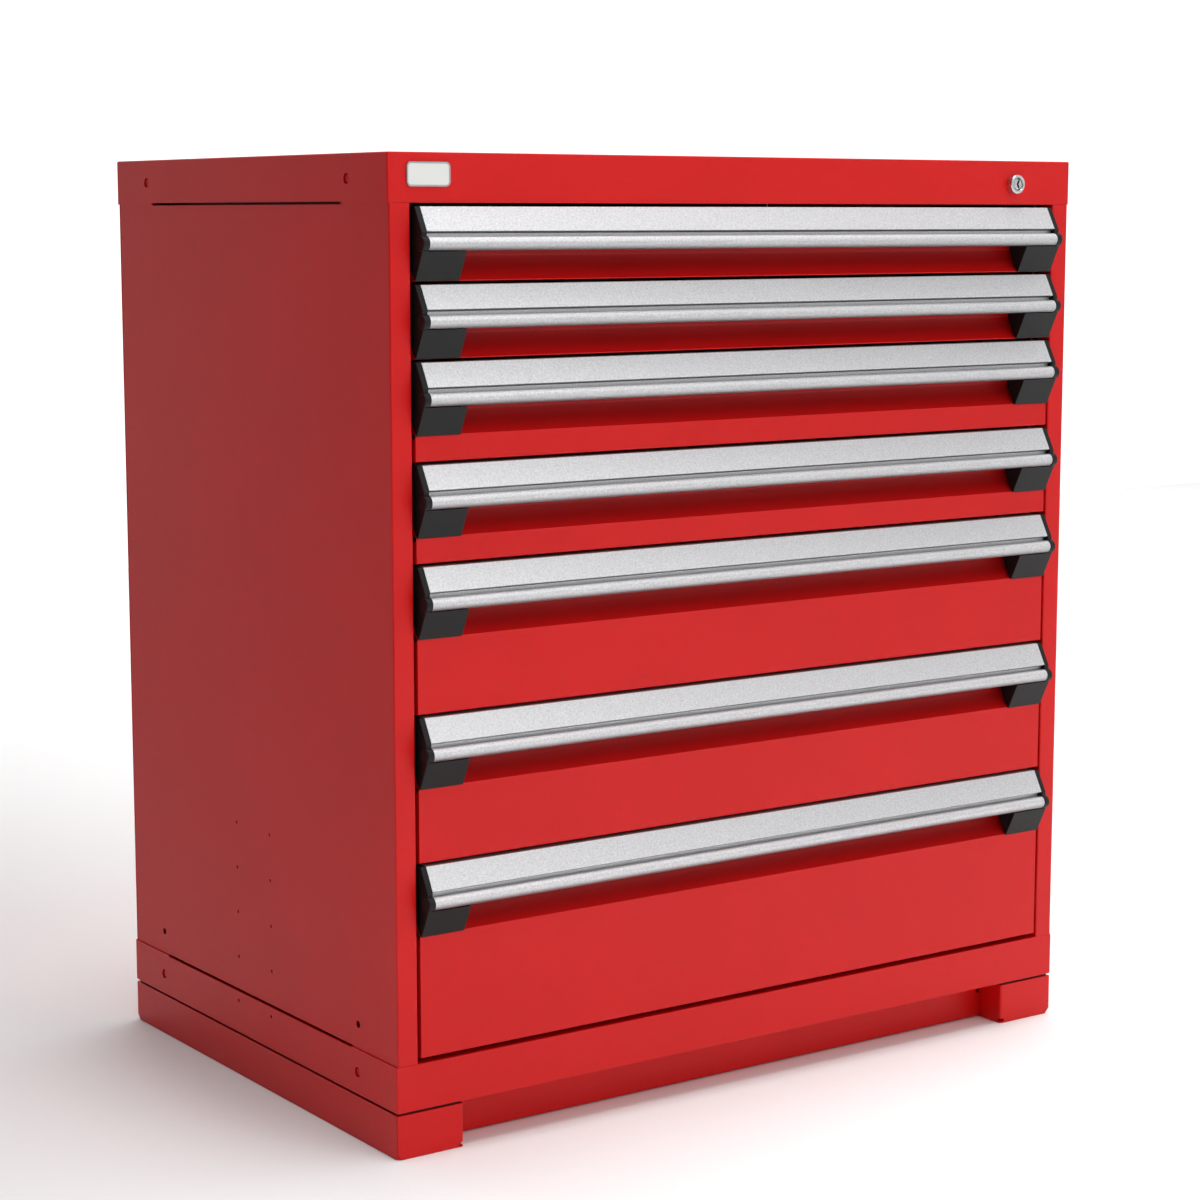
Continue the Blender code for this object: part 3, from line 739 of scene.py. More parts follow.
@dataclass
class RepeatTree:
    """Geometry node tree that sets copies of a part out on a grid."""

    name: str = "set_out_on_grid"

    def start(self) -> bpy.types.GeometryNodeTree:
        """Empty tree with the named inputs and the output.

        Returns:
            The tree.
        """
        tree = bpy.data.node_groups.new(self.name, "GeometryNodeTree")
        for label, kind in (("Geometry", "Geometry"), ("Part", "Object"), ("Finish", "Material"),
                            ("Columns", "Int"), ("Rows", "Int"), ("Origin", "Vector"),
                            ("Column Step", "Vector"), ("Row Step", "Vector"),
                            ("Spin Axis", "Vector"), ("Seed", "Int")):
            tree.interface.new_socket(label, in_out="INPUT", socket_type=f"NodeSocket{kind}")
        tree.interface.new_socket("Geometry", in_out="OUTPUT", socket_type="NodeSocketGeometry")
        return tree

    def build(self) -> bpy.types.GeometryNodeTree:
        """Make the tree, or find it if it has been made before.

        Returns:
            The tree.
        """
        tree = bpy.data.node_groups.get(self.name)
        if tree is not None:
            return tree
        tree = self.start()
        given = add_node(tree, "NodeGroupInput").outputs
        index = add_node(tree, "GeometryNodeInputIndex").outputs["Index"]
        count = add_node(tree, "ShaderNodeMath", {0: given["Columns"], 1: given["Rows"]},
                         operation="MULTIPLY")
        column = add_node(tree, "ShaderNodeMath", {0: index, 1: given["Columns"]},
                          operation="FLOORED_MODULO")
        share = add_node(tree, "ShaderNodeMath", {0: index, 1: given["Columns"]},
                         operation="DIVIDE")
        row = add_node(tree, "ShaderNodeMath", {0: share.outputs[0]}, operation="FLOOR")
        place = given["Origin"]
        for step, times in (("Column Step", column), ("Row Step", row)):
            move = add_node(tree, "ShaderNodeVectorMath", {
                0: given[step], "Scale": times.outputs[0]}, operation="SCALE")
            place = add_node(tree, "ShaderNodeVectorMath", {0: place, 1: move.outputs[0]},
                             operation="ADD").outputs[0]
        points = add_node(tree, "GeometryNodePoints", {
            "Count": count.outputs[0], "Position": place})
        turn = add_node(tree, "FunctionNodeRandomValue", {
            2: 0.0, 3: math.tau, "Seed": given["Seed"]}, data_type="FLOAT")
        spin = add_node(tree, "ShaderNodeVectorMath", {
            0: given["Spin Axis"], "Scale": turn.outputs[1]}, operation="SCALE")
        part = add_node(tree, "GeometryNodeObjectInfo", {"Object": given["Part"]},
                        transform_space="ORIGINAL")
        copies = add_node(tree, "GeometryNodeInstanceOnPoints", {
            "Points": points.outputs[0], "Instance": part.outputs["Geometry"],
            "Rotation": spin.outputs[0]})
        real = add_node(tree, "GeometryNodeRealizeInstances", {
            "Geometry": copies.outputs["Instances"]})
        painted = add_node(tree, "GeometryNodeSetMaterial", {
            "Geometry": real.outputs["Geometry"], "Material": given["Finish"]})
        add_node(tree, "NodeGroupOutput", {"Geometry": painted.outputs["Geometry"]})
        return tree


@dataclass(frozen=True)
class Grid:
    """How copies of a part are set out.

    Attributes:
        origin: Place of the first copy.
        columns: Copies in a row.
        column_step: Step from one column to the next.
        rows: Number of rows.
        row_step: Step from one row to the next.
        spin: Axis that each copy is turned about by a random angle, or zero.
        seed: Seed of those angles.
    """

    origin: Place
    columns: int
    column_step: Place
    rows: int
    row_step: Place
    spin: Place = ORIGIN
    seed: int = 7

    def set_out(self, name: str, part: Object, finish: Finish) -> Object:
        """Copy a part over the grid.

        Args:
            name: Name of the new object.
            part: Part that is copied, which is removed; its own place is left out.
            finish: Finish of the copies.

        Returns:
            One plain mesh with all the copies.
        """
        item = new_object(name, bmesh.new())
        modifier = item.modifiers.new("repeat", "NODES")
        modifier.node_group = RepeatTree().build()
        values = {"Part": part, "Finish": finish.build(), "Columns": self.columns,
                  "Rows": self.rows, "Origin": self.origin, "Column Step": self.column_step,
                  "Row Step": self.row_step, "Spin Axis": self.spin, "Seed": self.seed}
        for socket in modifier.node_group.interface.items_tree:
            if socket.in_out == "INPUT" and socket.name in values:
                modifier[socket.identifier] = values[socket.name]
        baked(item)
        bpy.data.objects.remove(part)
        return item


# ---------------------------------------------------------------- sub-assemblies

@dataclass(frozen=True)
class Layout:
    """Planes and levels of the chest, read from the frame.

    Attributes:
        front: Y of the plane of the stiles and the drawer fronts.
        levels: Lower and upper edge of each drawer front, from the top down.
    """

    front: float
    levels: tuple[Point, ...]

    @classmethod
    def read(cls) -> "Layout":
        """Read the planes and levels from the frame's boxes.

        Returns:
            The layout.
        """
        levels = []
        while f"drawer_{len(levels) + 1}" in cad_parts:
            low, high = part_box(f"drawer_{len(levels) + 1}")
            levels.append((low.z, high.z + GAP))
        return cls(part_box("top_cap")[0].y, tuple(levels))

    def behind(self, distance: float) -> float:
        """Y of a plane this far behind the front plane."""
        return self.front + distance


@dataclass(frozen=True)
class Bolt:
    """Round bolt head with a hexagon socket.

    Attributes:
        radius: Radius of the head.
        height: Height of its dome.
        shank: Length of the round part behind the dome.
    """

    radius: float = 0.0040
    height: float = 0.0007
    shank: float = 0.0085

    def build(self, sign: float) -> Object:
        """Build the head, with the foot of its dome at the origin.

        Args:
            sign: Sign of X that it faces.

        Returns:
            The head.
        """
        shank, height = -sign * self.shank, sign * self.height
        dome = [(height * v, self.radius * u) for u, v in arc((0.0, 0.0), 1.0, 0.0, 90.0, 8)]
        head = turned("bolt_head", [(shank, 0.0), (shank, self.radius), *dome], Run.ALONG_X,
                      ORIGIN, 24)
        socket = prism("bolt_socket", Run.ALONG_X, (height * 0.35, height * 2.0),
                       ring((0.0, 0.0), self.radius * 0.45, 6))
        return softened(cut(head, socket))


@dataclass
class Housing:
    """Cap, pan, side panels and back, folded from sheet and powder coated.

    Attributes:
        layout: Planes of the chest.
        bend: Outer radius of the folds.
        edge: Width of the back panel's broken edges.
        opening: Distance from the middle to the stiles' inner faces.
        jamb: Depth of the stiles' inner flanges.
        rear_flange: Width of the side panels' flanges behind the back.
        slot: Height of the long slots under and over the skirts.
        slot_run: Where the slots start and end, behind the front plane.
        bolt_run: Places of the bolts, behind the front plane.
        bolt_hole: Radius of the holes that the bolts are sunk in.
        bolt_z: Heights of the pan's and the cap's bolts.
        panel_hole: Radius of the two larger holes near a side panel's foot.
        panel_hole_z: Their height.
        vent: Radius of the small holes.
        vent_run: Place of the first column of small holes, and the step to the next.
        vent_z: Height of the lowest small hole, and the step up to the next.
        vent_rows: Rows of small holes.
        stiffener_x: Distance from the middle to the stiffeners' webs.
        stiffener_run: Where the stiffeners start and end, behind the front plane.
        stiffener_half: Half their height.
        rivet: Half section of a rivet's head, as (distance from the back, radius).
        rivet_inset: Distance of the rivets from the back panel's upright edges.
        rivet_clear: Height of the first rivet over the pan's bolts, and of the cap's bolts over
            the last.
        rivet_rows: Rows of rivets.
    """

    layout: Layout
    bend: float = 0.0018
    edge: float = 0.0003
    opening: float = 0.4318
    jamb: float = 0.0200
    rear_flange: float = 0.0220
    slot: float = 0.0028
    slot_run: Point = (0.0920, 0.5210)
    bolt_run: Point = (0.0803, 0.5330)
    bolt_hole: float = 0.0055
    bolt_z: Point = (0.0730, 0.9910)
    panel_hole: float = 0.00385
    panel_hole_z: float = 0.1240
    vent: float = 0.0019
    vent_run: Point = (0.2683, 0.0765)
    vent_z: Point = (0.0862, 0.0508)
    vent_rows: int = 5
    stiffener_x: float = 0.4335
    stiffener_run: Point = (0.0775, 0.5285)
    stiffener_half: float = 0.0120
    rivet: tuple[Point, ...] = ((0.0, 0.0), (0.0, 0.0034), (0.0005, 0.0033), (0.0010, 0.0022),
                                (0.0012, 0.0012), (0.0009, 0.0009), (0.0009, 0.0))
    rivet_inset: float = 0.0105
    rivet_clear: float = 0.0450
    rivet_rows: int = 9

    @property
    def reach(self) -> float:
        """Distance from the middle to which a cutter right across the chest goes."""
        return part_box("top_cap")[1].x * 2.0

    def bore(self, radius: float, heights: tuple[float, ...]) -> Object:
        """Cutter with rods right across the chest, at both bolts' places behind the front plane.

        Args:
            radius: Radius of the rods.
            heights: Their heights.

        Returns:
            The cutter, as one mesh.
        """
        rods = [ring((self.layout.behind(along), height), radius, 24)
                for along in self.bolt_run for height in heights]
        return prism("bore", Run.ALONG_X, (-self.reach, self.reach), *rods)

    def side_slot(self, level: float) -> Object:
        """Cutter for the long slots.

        Args:
            level: Height of a skirt's free edge, which they follow.

        Returns:
            The cutter.
        """
        start, end = (self.layout.behind(distance) for distance in self.slot_run)
        return block("slot", (-self.reach, start, level - self.slot / 2.0),
                     (self.reach, end, level + self.slot / 2.0))

    def vents(self) -> Object:
        """Cutter for both columns of small holes.

        Returns:
            The cutter, set out by the grid tree.
        """
        circle = arc((0.0, 0.0), self.vent, 0.0, 348.0, 15)
        rod = prism("vent_rod", Run.ALONG_X, (-self.reach, self.reach), circle)
        grid = Grid((0.0, self.layout.behind(self.vent_run[0]), self.vent_z[0]), 2,
                    (0.0, self.vent_run[1], 0.0), self.vent_rows, (0.0, 0.0, self.vent_z[1]))
        return grid.set_out("vents", rod, RED)

    def build_skirted(self, name: str, node: str, opening: float, bolt: float,
                      lock: Object | None) -> None:
        """Build the cap or the pan, with a flange that turns in behind its front skirt.

        Args:
            name: Name of the piece.
            node: Node of the frame that it stands for.
            opening: Sign of Z that its open side faces.
            bolt: Height of its bolts.
            lock: Cutter for the lock's hole, or None.
        """
        low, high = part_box(node)
        edge, lip_low = (low.z, low.z) if opening < 0.0 else (high.z, high.z - SHEET)
        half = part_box("side_panel_right")[1].x - SHEET - GAP
        lip = block("lip", (-half, self.layout.behind(SHEET / 2.0), lip_low),
                    (half, self.layout.behind(self.jamb), lip_low + SHEET))
        shell = joined(pan(name, low, high, (0.0, 0.0, opening), self.bend), lip)
        cut(shell, self.side_slot(edge), self.bore(self.bolt_hole, (bolt,)), lock or self.vents())
        dress(softened(shell), RED, Slot.RED, "root", node)

    def build_sides(self) -> None:
        """Build the side panels, with the stiles folded round from their front edges."""
        low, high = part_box("side_panel_right")
        cap_edge, pan_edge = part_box("top_cap")[0].z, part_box("bottom_pan")[1].z
        jamb_y = self.layout.behind(self.jamb)
        path = [(self.opening, jamb_y), (self.opening, low.y), (high.x, low.y),
                (high.x, high.y), (high.x - self.rear_flange, high.y)]
        panel = prism("side_shell_right", Run.ALONG_Z, (low.z, high.z),
                      folded(eased(path, self.bend), SHEET))
        inner = high.x - SHEET - GAP / 2.0
        for bottom, top in ((low.z - SHEET, pan_edge + GAP), (cap_edge - GAP, high.z + SHEET)):
            face = block("face_end", (-self.reach, low.y - SHEET, bottom),
                         (self.reach, self.layout.behind(SHEET + GAP), top))
            jamb = block("jamb_end", (-inner, low.y - SHEET, bottom), (inner, jamb_y + SHEET, top))
            cut(panel, face, jamb)
        cut(panel, self.side_slot(cap_edge), self.side_slot(pan_edge),
            self.bore(self.panel_hole, (self.panel_hole_z,)),
            self.bore(self.bolt_hole - GAP, self.bolt_z), self.vents())
        dress_pair(softened(panel), RED, Slot.RED, "root", "side_panel_right")

    def build_back(self) -> None:
        """Build the flat back panel."""
        panel = softened(block("back_shell", *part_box("back_panel")), self.edge)
        dress(panel, RED, Slot.RED, "root", "back_panel")

    def build_stiffeners(self) -> None:
        """Build the channels welded inside the side panels, behind the long slots."""
        outer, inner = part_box("side_panel_right")[1].x - SHEET - GAP, self.stiffener_x
        ends = tuple(self.layout.behind(distance) for distance in self.stiffener_run)
        levels = {"upper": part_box("top_cap")[0].z, "lower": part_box("bottom_pan")[1].z}
        for word, level in levels.items():
            low, high = level - self.stiffener_half, level + self.stiffener_half
            path = eased([(outer, low), (inner, low), (inner, high), (outer, high)], self.bend)
            channel = prism(f"stiffener_right_{word}", Run.ALONG_Y, ends,
                            folded(path, SHEET)[::-1])
            dress_pair(softened(channel), RED, Slot.RED, "root")

    def build_bolts(self) -> None:
        """Build the bolts sunk in the skirts' round holes."""
        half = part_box("side_panel_right")[1].x
        steps = [last - first for first, last in (self.bolt_run, self.bolt_z)]
        for side in Side:
            first = (side.value * half, self.layout.behind(self.bolt_run[0]), self.bolt_z[0])
            grid = Grid(first, 2, (0.0, steps[0], 0.0), 2, (0.0, 0.0, steps[1]), (1.0, 0.0, 0.0))
            item = grid.set_out(f"skirt_bolts_{side.word}", Bolt().build(side.value), RED)
            dress(softened(item), RED, Slot.RED, "root")

    def build_rivets(self) -> None:
        """Build the blind rivets along the back panel's upright edges."""
        low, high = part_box("back_panel")
        start = self.bolt_z[0] + self.rivet_clear
        rise = (self.bolt_z[1] - self.rivet_clear - start) / (self.rivet_rows - 1)
        width = high.x - low.x - 2.0 * self.rivet_inset
        grid = Grid((low.x + self.rivet_inset, high.y, start), 2, (width, 0.0, 0.0),
                    self.rivet_rows, (0.0, 0.0, rise))
        head = turned("rivet_head", self.rivet, Run.ALONG_Y, ORIGIN, 20)
        item = grid.set_out("back_rivets", head, ALUMINIUM)
        dress(softened(item), ALUMINIUM, Slot.ALUMINIUM, "root")

    def build(self, lock: Object) -> None:
        """Build the housing.

        Args:
            lock: Cutter for the lock's hole in the cap.
        """
        self.build_skirted("cap_shell", "top_cap", -1.0, self.bolt_z[1], lock)
        self.build_skirted("pan_shell", "bottom_pan", 1.0, self.bolt_z[0], None)
        self.build_sides()
        self.build_back()
        self.build_stiffeners()
        self.build_bolts()
        self.build_rivets()


@dataclass
class Plinth:
    """Base on two hollow rails, with recessed panels between them.

    Attributes:
        bend: Radius of the bend at a rail's inner corners.
        edge: Width of the broken edges.
        seam: Distance of the seam from a rail's outer corners, its width and its depth.
        relief: Width and height of the bend reliefs at the foot of a rail's inner corners.
        relief_z: Height of those reliefs above the floor.
        notch: Width at the top, width at the bottom and height of the notches in the toe and
            rear panels' upper corners.
        packing_inset: How far the near-black strips stand back from the rails' faces; they fill
        the gap under the pan with painted shadow.
    """

    bend: float = 0.0026
    edge: float = 0.0003
    seam: Place = (0.0008, 0.0010, 0.0016)
    relief: Point = (0.0056, 0.0038)
    relief_z: float = 0.0012
    notch: Place = (0.0088, 0.0042, 0.0168)
    packing_inset: float = 0.0030

    def rail_cutters(self, low: Vector, high: Vector) -> list[Object]:
        """Cutters for the right rail's seams and bend reliefs.

        Args:
            low: Lowest corner of the rail.
            high: Highest corner of the rail.

        Returns:
            The cutters.
        """
        clear = 0.010
        offset, width, depth = self.seam
        cutters = []
        for edge, inward in ((low.y, 1.0), (high.y, -1.0)):
            y = sorted((edge + inward * offset, edge + inward * (offset + width)))
            cutters.append(block("seam", (high.x - depth, y[0], -clear),
                                 (high.x + clear, y[1], high.z + depth)))
            y = sorted((edge - inward * clear, edge + inward * self.relief[0]))
            cutters.append(block("relief", (low.x - clear, y[0], self.relief_z),
                                 (low.x + self.relief[0], y[1], self.relief_z + self.relief[1])))
        return cutters

    def build_rails(self) -> None:
        """Build the rails, with a rounded inner corner at each end and a seam at the outer ones."""
        low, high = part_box("base_rail_right")
        shape = node_shape("base_rail_right")
        corners = [edge for edge in shape.edges for end in (low.y, high.y)
                   if all(abs(vert.co.x - low.x) < GAP and abs(vert.co.y - end) < GAP
                          for vert in edge.verts)]
        bmesh.ops.bevel(shape, geom=corners, offset=self.bend, segments=5, profile=0.5,
                        affect="EDGES")
        rail = cut(new_object("plinth_rail_right", shape), *self.rail_cutters(low, high))
        dress_pair(softened(rail, self.edge), RED, Slot.RED, "root", "base_rail_right")

    def build_packing(self) -> None:
        """Build near-black strips in the gap between the rails and the pan: painted shadow."""
        low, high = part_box("base_rail_right")
        inset, ceiling = self.packing_inset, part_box("bottom_pan")[0].z - GAP
        strip = block("plinth_packing_right", (low.x + inset, low.y + inset, high.z - inset),
                      (high.x - inset, high.y - inset, ceiling))
        # Near-black strips where only shade falls: painted shadow.
        dress_pair(softened(strip), NYLON, Slot.PLASTIC, "root")

    def build_panel(self, word: str) -> None:
        """Build the toe or the rear panel, with its upper corners notched.

        Args:
            word: The panel's name in the frame's nodes.
        """
        node = f"base_{word}_panel"
        low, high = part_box(node)
        panel = from_node(f"plinth_{word}", node, 0.0)
        wide, narrow, height = self.notch
        for side in Side:
            outline = [(side.value * (high.x - inset), z) for inset, z in (
                (-CLEAR, high.z + CLEAR), (wide, high.z + CLEAR),
                (narrow, high.z - height), (-CLEAR, high.z - height))]
            cut(panel, prism("notch", Run.ALONG_Y, (low.y - CLEAR, high.y + CLEAR), outline))
        dress(softened(panel, self.edge), RED, Slot.RED, "root", node)

    def build(self) -> None:
        """Build the rails, the near-black strips of painted shadow on them, and the panels."""
        self.build_rails()
        self.build_packing()
        for word in ("toe", "rear"):
            self.build_panel(word)


@dataclass(frozen=True)
class Rollers:
    """Rollers on both sides of the chest, two on each side.

    Attributes:
        inner: Distance from the middle to their inner faces.
        outer: Distance from the middle to their outer faces.
        along: Places of the two rollers on a side, behind the front plane.
        radius: Radius of the rollers.
        edge: Width of their chamfers, and height of their hubs.
        hub: Radius of the hubs' tops and of their feet.
    """

    inner: float
    outer: float
    along: Point
    radius: float = 0.0113
    edge: float = 0.0010
    hub: Point = (0.0030, 0.0034)

    def build(self, name: str, body: str, layout: Layout, axis: float) -> None:
        """Build them as one piece.

        Args:
            name: Name of the piece.
            body: Body that it rides on.
            layout: Planes of the chest.
            axis: Height of the axles.
        """
        half, middle = (self.outer - self.inner) / 2.0, (self.inner + self.outer) / 2.0
        edge, rim = self.edge, self.radius - self.edge
        profile = [(-half, 0.0), (-half - edge, self.hub[0]), (-half, self.hub[1]), (-half, rim),
                   (edge - half, self.radius), (half - edge, self.radius), (half, rim),
                   (half, self.hub[1]), (half + edge, self.hub[0]), (half + edge, 0.0)]
        start, end = (layout.behind(distance) for distance in self.along)
        grid = Grid((-middle, start, axis), 2, (2.0 * middle, 0.0, 0.0),
                    2, (0.0, end - start, 0.0))
        item = grid.set_out(name, turned("roller", profile, Run.ALONG_X, ORIGIN, 32), ROLLER)
        dress(softened(item), ROLLER, Slot.PLASTIC, body)


@dataclass
class Drawer:
    """Drawer with its folded front, tray, runners and catch.

    Attributes:
        layout: Planes of the chest.
        number: Its number, counted from the top.
        half: Half the width of its front.
        recess: Depth of the hand recess.
        recess_bottom: Height at which the recess starts to curve out, from the front's upper edge.
        cove_bottom: Height at which the curve meets the front plane.
        sagitta: Hollowness of the curve.
        upturn: Depth and height of the flange turned in and up at the front's lower edge.
        end_depth: Depth of the flanges at a tall front's ends.
        tray_half: Half the tray's width.
        tray_back: Distance from the front plane to the tray's back.
        tray_lift: Tray floor above the front's lower edge.
        tray_drop: Tray rim below the front's upper edge.
        hem: Height of the tray's hems.
        hem_inset: Distance of a hem's ends from the tray's.
        slot_pitch: Distance between the partition slots.
        slot_size: Width and height of a slot.
        slot_gap: Height of the sheet between two rows of slots.
        slot_margin: Least length of plain sheet along a wall, and up it.
        runner_x: Distance from the middle to the runners' webs and to their free edges.
        runner_inset: Distance from the front plane to the runners' front ends, and from the
            tray's back to their rear ends.
        slide_lift: Slide axis above the front's lower edge.
        slide_half: Half the height of a runner.
        slide_sheet: Thickness of a runner.
        rollers: Rollers on the tray's sides.
        catch: Place of the catch's back, of its lower end and of its shelf.
        catch_x: Distance from the middle to the catch's inner and outer faces.
        catch_sheet: Thickness of the catch.
        edge: Width of the front's broken edges.
        part_edge: Width of the runners' and the catch's.
        front_bend: Radius of the front's folds.
        tray_bend: Outer radius of the tray's folds.
        runner_bend: Radius of the runners' folds.
        catch_bend: Radius of the catch's fold.
        hem_round: Radius of the hems' edges.
    """

    layout: Layout
    number: int
    half: float = 0.4280
    recess: float = 0.0150
    recess_bottom: float = -0.0484
    cove_bottom: float = -0.0722
    sagitta: float = 0.0032
    upturn: Point = (0.0165, 0.0100)
    end_depth: float = 0.0130
    tray_half: float = 0.3860
    tray_back: float = 0.5720
    tray_lift: float = 0.0060
    tray_drop: float = 0.0142
    hem: float = 0.0070
    hem_inset: float = 0.0030
    slot_pitch: float = 0.0254
    slot_size: Point = (0.0024, 0.0240)
    slot_gap: float = 0.0100
    slot_margin: Point = (0.0500, 0.0120)
    runner_x: Point = (0.3856, 0.4010)
    runner_inset: Point = (0.0220, 0.0020)
    slide_lift: float = 0.0300
    slide_half: float = 0.0170
    slide_sheet: float = 0.0018
    rollers: Rollers = Rollers(0.3905, 0.3995, (0.330, 0.555))
    catch: Place = (0.0255, -0.0120, -0.0040)
    catch_x: Point = (0.4200, 0.4270)
    catch_sheet: float = 0.0015
    edge: float = 0.00025
    part_edge: float = 0.0002
    front_bend: float = 0.0014
    tray_bend: float = 0.0018
    runner_bend: float = 0.0024
    catch_bend: float = 0.0020
    hem_round: float = 0.0005

    @property
    def body(self) -> str:
        """Body that the drawer's pieces ride on."""
        return f"drawer_{self.number}"

    def cove(self) -> list[Point]:
        """Hollow curve from the recess wall out to the front plane.

        Returns:
            The curve's points.
        """
        top, end = Vector((self.recess, self.recess_bottom)), Vector((0.0, self.cove_bottom))
        chord = end - top
        radius = (chord.length ** 2 / 4.0 + self.sagitta ** 2) / (2.0 * self.sagitta)
        across = Vector((chord.y, -chord.x)).normalized()
        centre = (top + end) / 2.0 + across * (radius - self.sagitta)
        angles = [math.degrees(math.atan2(p.y - centre.y, p.x - centre.x)) for p in (top, end)]
        return arc(tuple(centre), radius, angles[0], angles[1], 16)

    def build_front(self, bottom: float, top: float) -> None:
        """Build the front sheet: recess wall, cove, face and a flange turned in at the bottom.

        Args:
            bottom: Height of its lower edge.
            top: Height of its upper edge.
        """
        height, (depth, rise) = top - bottom, self.upturn
        curve = self.cove()
        face = eased([curve[-1], (0.0, -height), (depth, -height), (depth, rise - height)],
                     self.front_bend)
        path = shifted([(self.recess, -GAP), *curve[:-1], *face], self.layout.front, top)
        skin = prism(f"drawer_front_{self.number}", Run.ALONG_X, (-self.half, self.half),
                     folded(path, SHEET))
        if height + self.cove_bottom > 0.01:
            for side in Side:
                x = sorted((side.value * (self.half - 0.0001), side.value * (self.half - SHEET)))
                low = (x[0], self.layout.behind(SHEET / 2.0), bottom + SHEET / 2.0)
                high = (x[1], self.layout.behind(self.end_depth), top + self.cove_bottom - 0.004)
                joined(skin, block("end_flange", low, high))
        # The fronts' coat paints shade into the hand recess and the cove.
        dress(softened(skin, self.edge), RED_FRONT, Slot.RED, self.body, self.body)

    def slot_cutters(self, low: Vector, high: Vector) -> list[Object]:
        """Cutters for the partition slots in the tray's walls.

        Args:
            low: Lowest corner of the tray.
            high: Highest corner of the tray.

        Returns:
            One cutter for the side walls and one for the front and back walls.
        """
        wide, tall = self.slot_size
        rise = tall + self.slot_gap
        rows = max(1, int((high.z - low.z - self.slot_margin[1]) // rise))
        first_z = (low.z + high.z) / 2.0 - (rows - 1) * rise / 2.0 + CLEAR
        outline = eased([(-wide / 2, -tall / 2), (wide / 2, -tall / 2), (wide / 2, tall / 2),
                         (-wide / 2, tall / 2)], wide * 0.45, closed=True, steps=2)
        cutters = []
        size, middle = high - low, (low.y + high.y) / 2.0
        for run, reach, length, y, way in (
                (Run.ALONG_X, self.tray_half * 1.5, size.y, middle, (0.0, 1.0, 0.0)),
                (Run.ALONG_Y, self.tray_back, size.x, high.y, (1.0, 0.0, 0.0))):
            count = int((length - self.slot_margin[0]) // self.slot_pitch)
            step = Vector(way) * self.slot_pitch
            start = Vector((0.0, y, first_z)) - step * (count - 1) / 2.0
            grid = Grid(tuple(start), count, tuple(step), rows, (0.0, 0.0, rise))
            key = prism("slot_key", run, (-reach, reach), outline)
            cutters.append(grid.set_out("slot_cutter", key, RED))
        return cutters

    def build_tray(self, bottom: float, top: float) -> None:
        """Build the welded tray, with its hemmed rim and partition slots.

        Args:
            bottom: Height of the front's lower edge.
            top: Height of the front's upper edge.
        """
        low = Vector((-self.tray_half, self.layout.behind(self.recess + SHEET / 2.0),
                      bottom + self.tray_lift))
        high = Vector((self.tray_half, self.layout.behind(self.tray_back), top - self.tray_drop))
        tray = pan(f"drawer_tray_{self.number}", low, high, (0.0, 0.0, 1.0),
                   self.tray_bend)
        cut(tray, *self.slot_cutters(low, high))
        dress(softened(tray), RED, Slot.RED, self.body)
        for side in Side:
            out = SHEET * side.value
            corners = [(0.0, 0.0), (0.0, self.hem), (out, self.hem), (out, 0.0)]
            section = shifted(eased(corners, self.hem_round, closed=True),
                              side.value * self.tray_half, high.z - self.hem)
            hem = prism(f"tray_hem_{side.word}_{self.number}", Run.ALONG_Y,
                        (low.y + self.hem_inset, high.y - self.hem_inset), section)
            dress(softened(hem), RED, Slot.RED, self.body)

    def build_runners(self, bottom: float) -> None:
        """Build the C runners on the tray's sides, and the rollers that carry the middle slides.

        Args:
            bottom: Height of the front's lower edge.
        """
        axis = bottom + self.slide_lift
        web, free = self.runner_x
        low, high = axis - self.slide_half, axis + self.slide_half
        path = eased([(free, high), (web, high), (web, low), (free, low)], self.runner_bend)
        ends = (self.layout.behind(self.runner_inset[0]),
                self.layout.behind(self.tray_back - self.runner_inset[1]))
        runner = prism(f"runner_right_{self.number}", Run.ALONG_Y, ends,
                       folded(path, self.slide_sheet))
        dress_pair(softened(runner, self.part_edge), ZINC, Slot.ZINC, self.body)
        self.rollers.build(f"tray_rollers_{self.number}", self.body, self.layout, axis)

    def build_catch(self, top: float) -> None:
        """Build the catch behind the front's right-hand end, for the lock bar's hook.

        Args:
            top: Height of the front's upper edge.
        """
        back, foot, shelf = self.catch
        path = eased([(back, foot), (back, shelf), (self.recess + SHEET, shelf)], self.catch_bend)
        outline = folded(shifted(path, self.layout.front, top), self.catch_sheet)
        catch = prism(f"lock_catch_{self.number}", Run.ALONG_X, self.catch_x, outline)
        dress(softened(catch, self.part_edge), ZINC, Slot.ZINC, self.body)

    def build(self) -> None:
        """Build the drawer's pieces."""
        bottom, top = self.layout.levels[self.number - 1]
        self.build_front(bottom, top)
        self.build_tray(bottom, top)
        self.build_runners(bottom)
        self.build_catch(top)


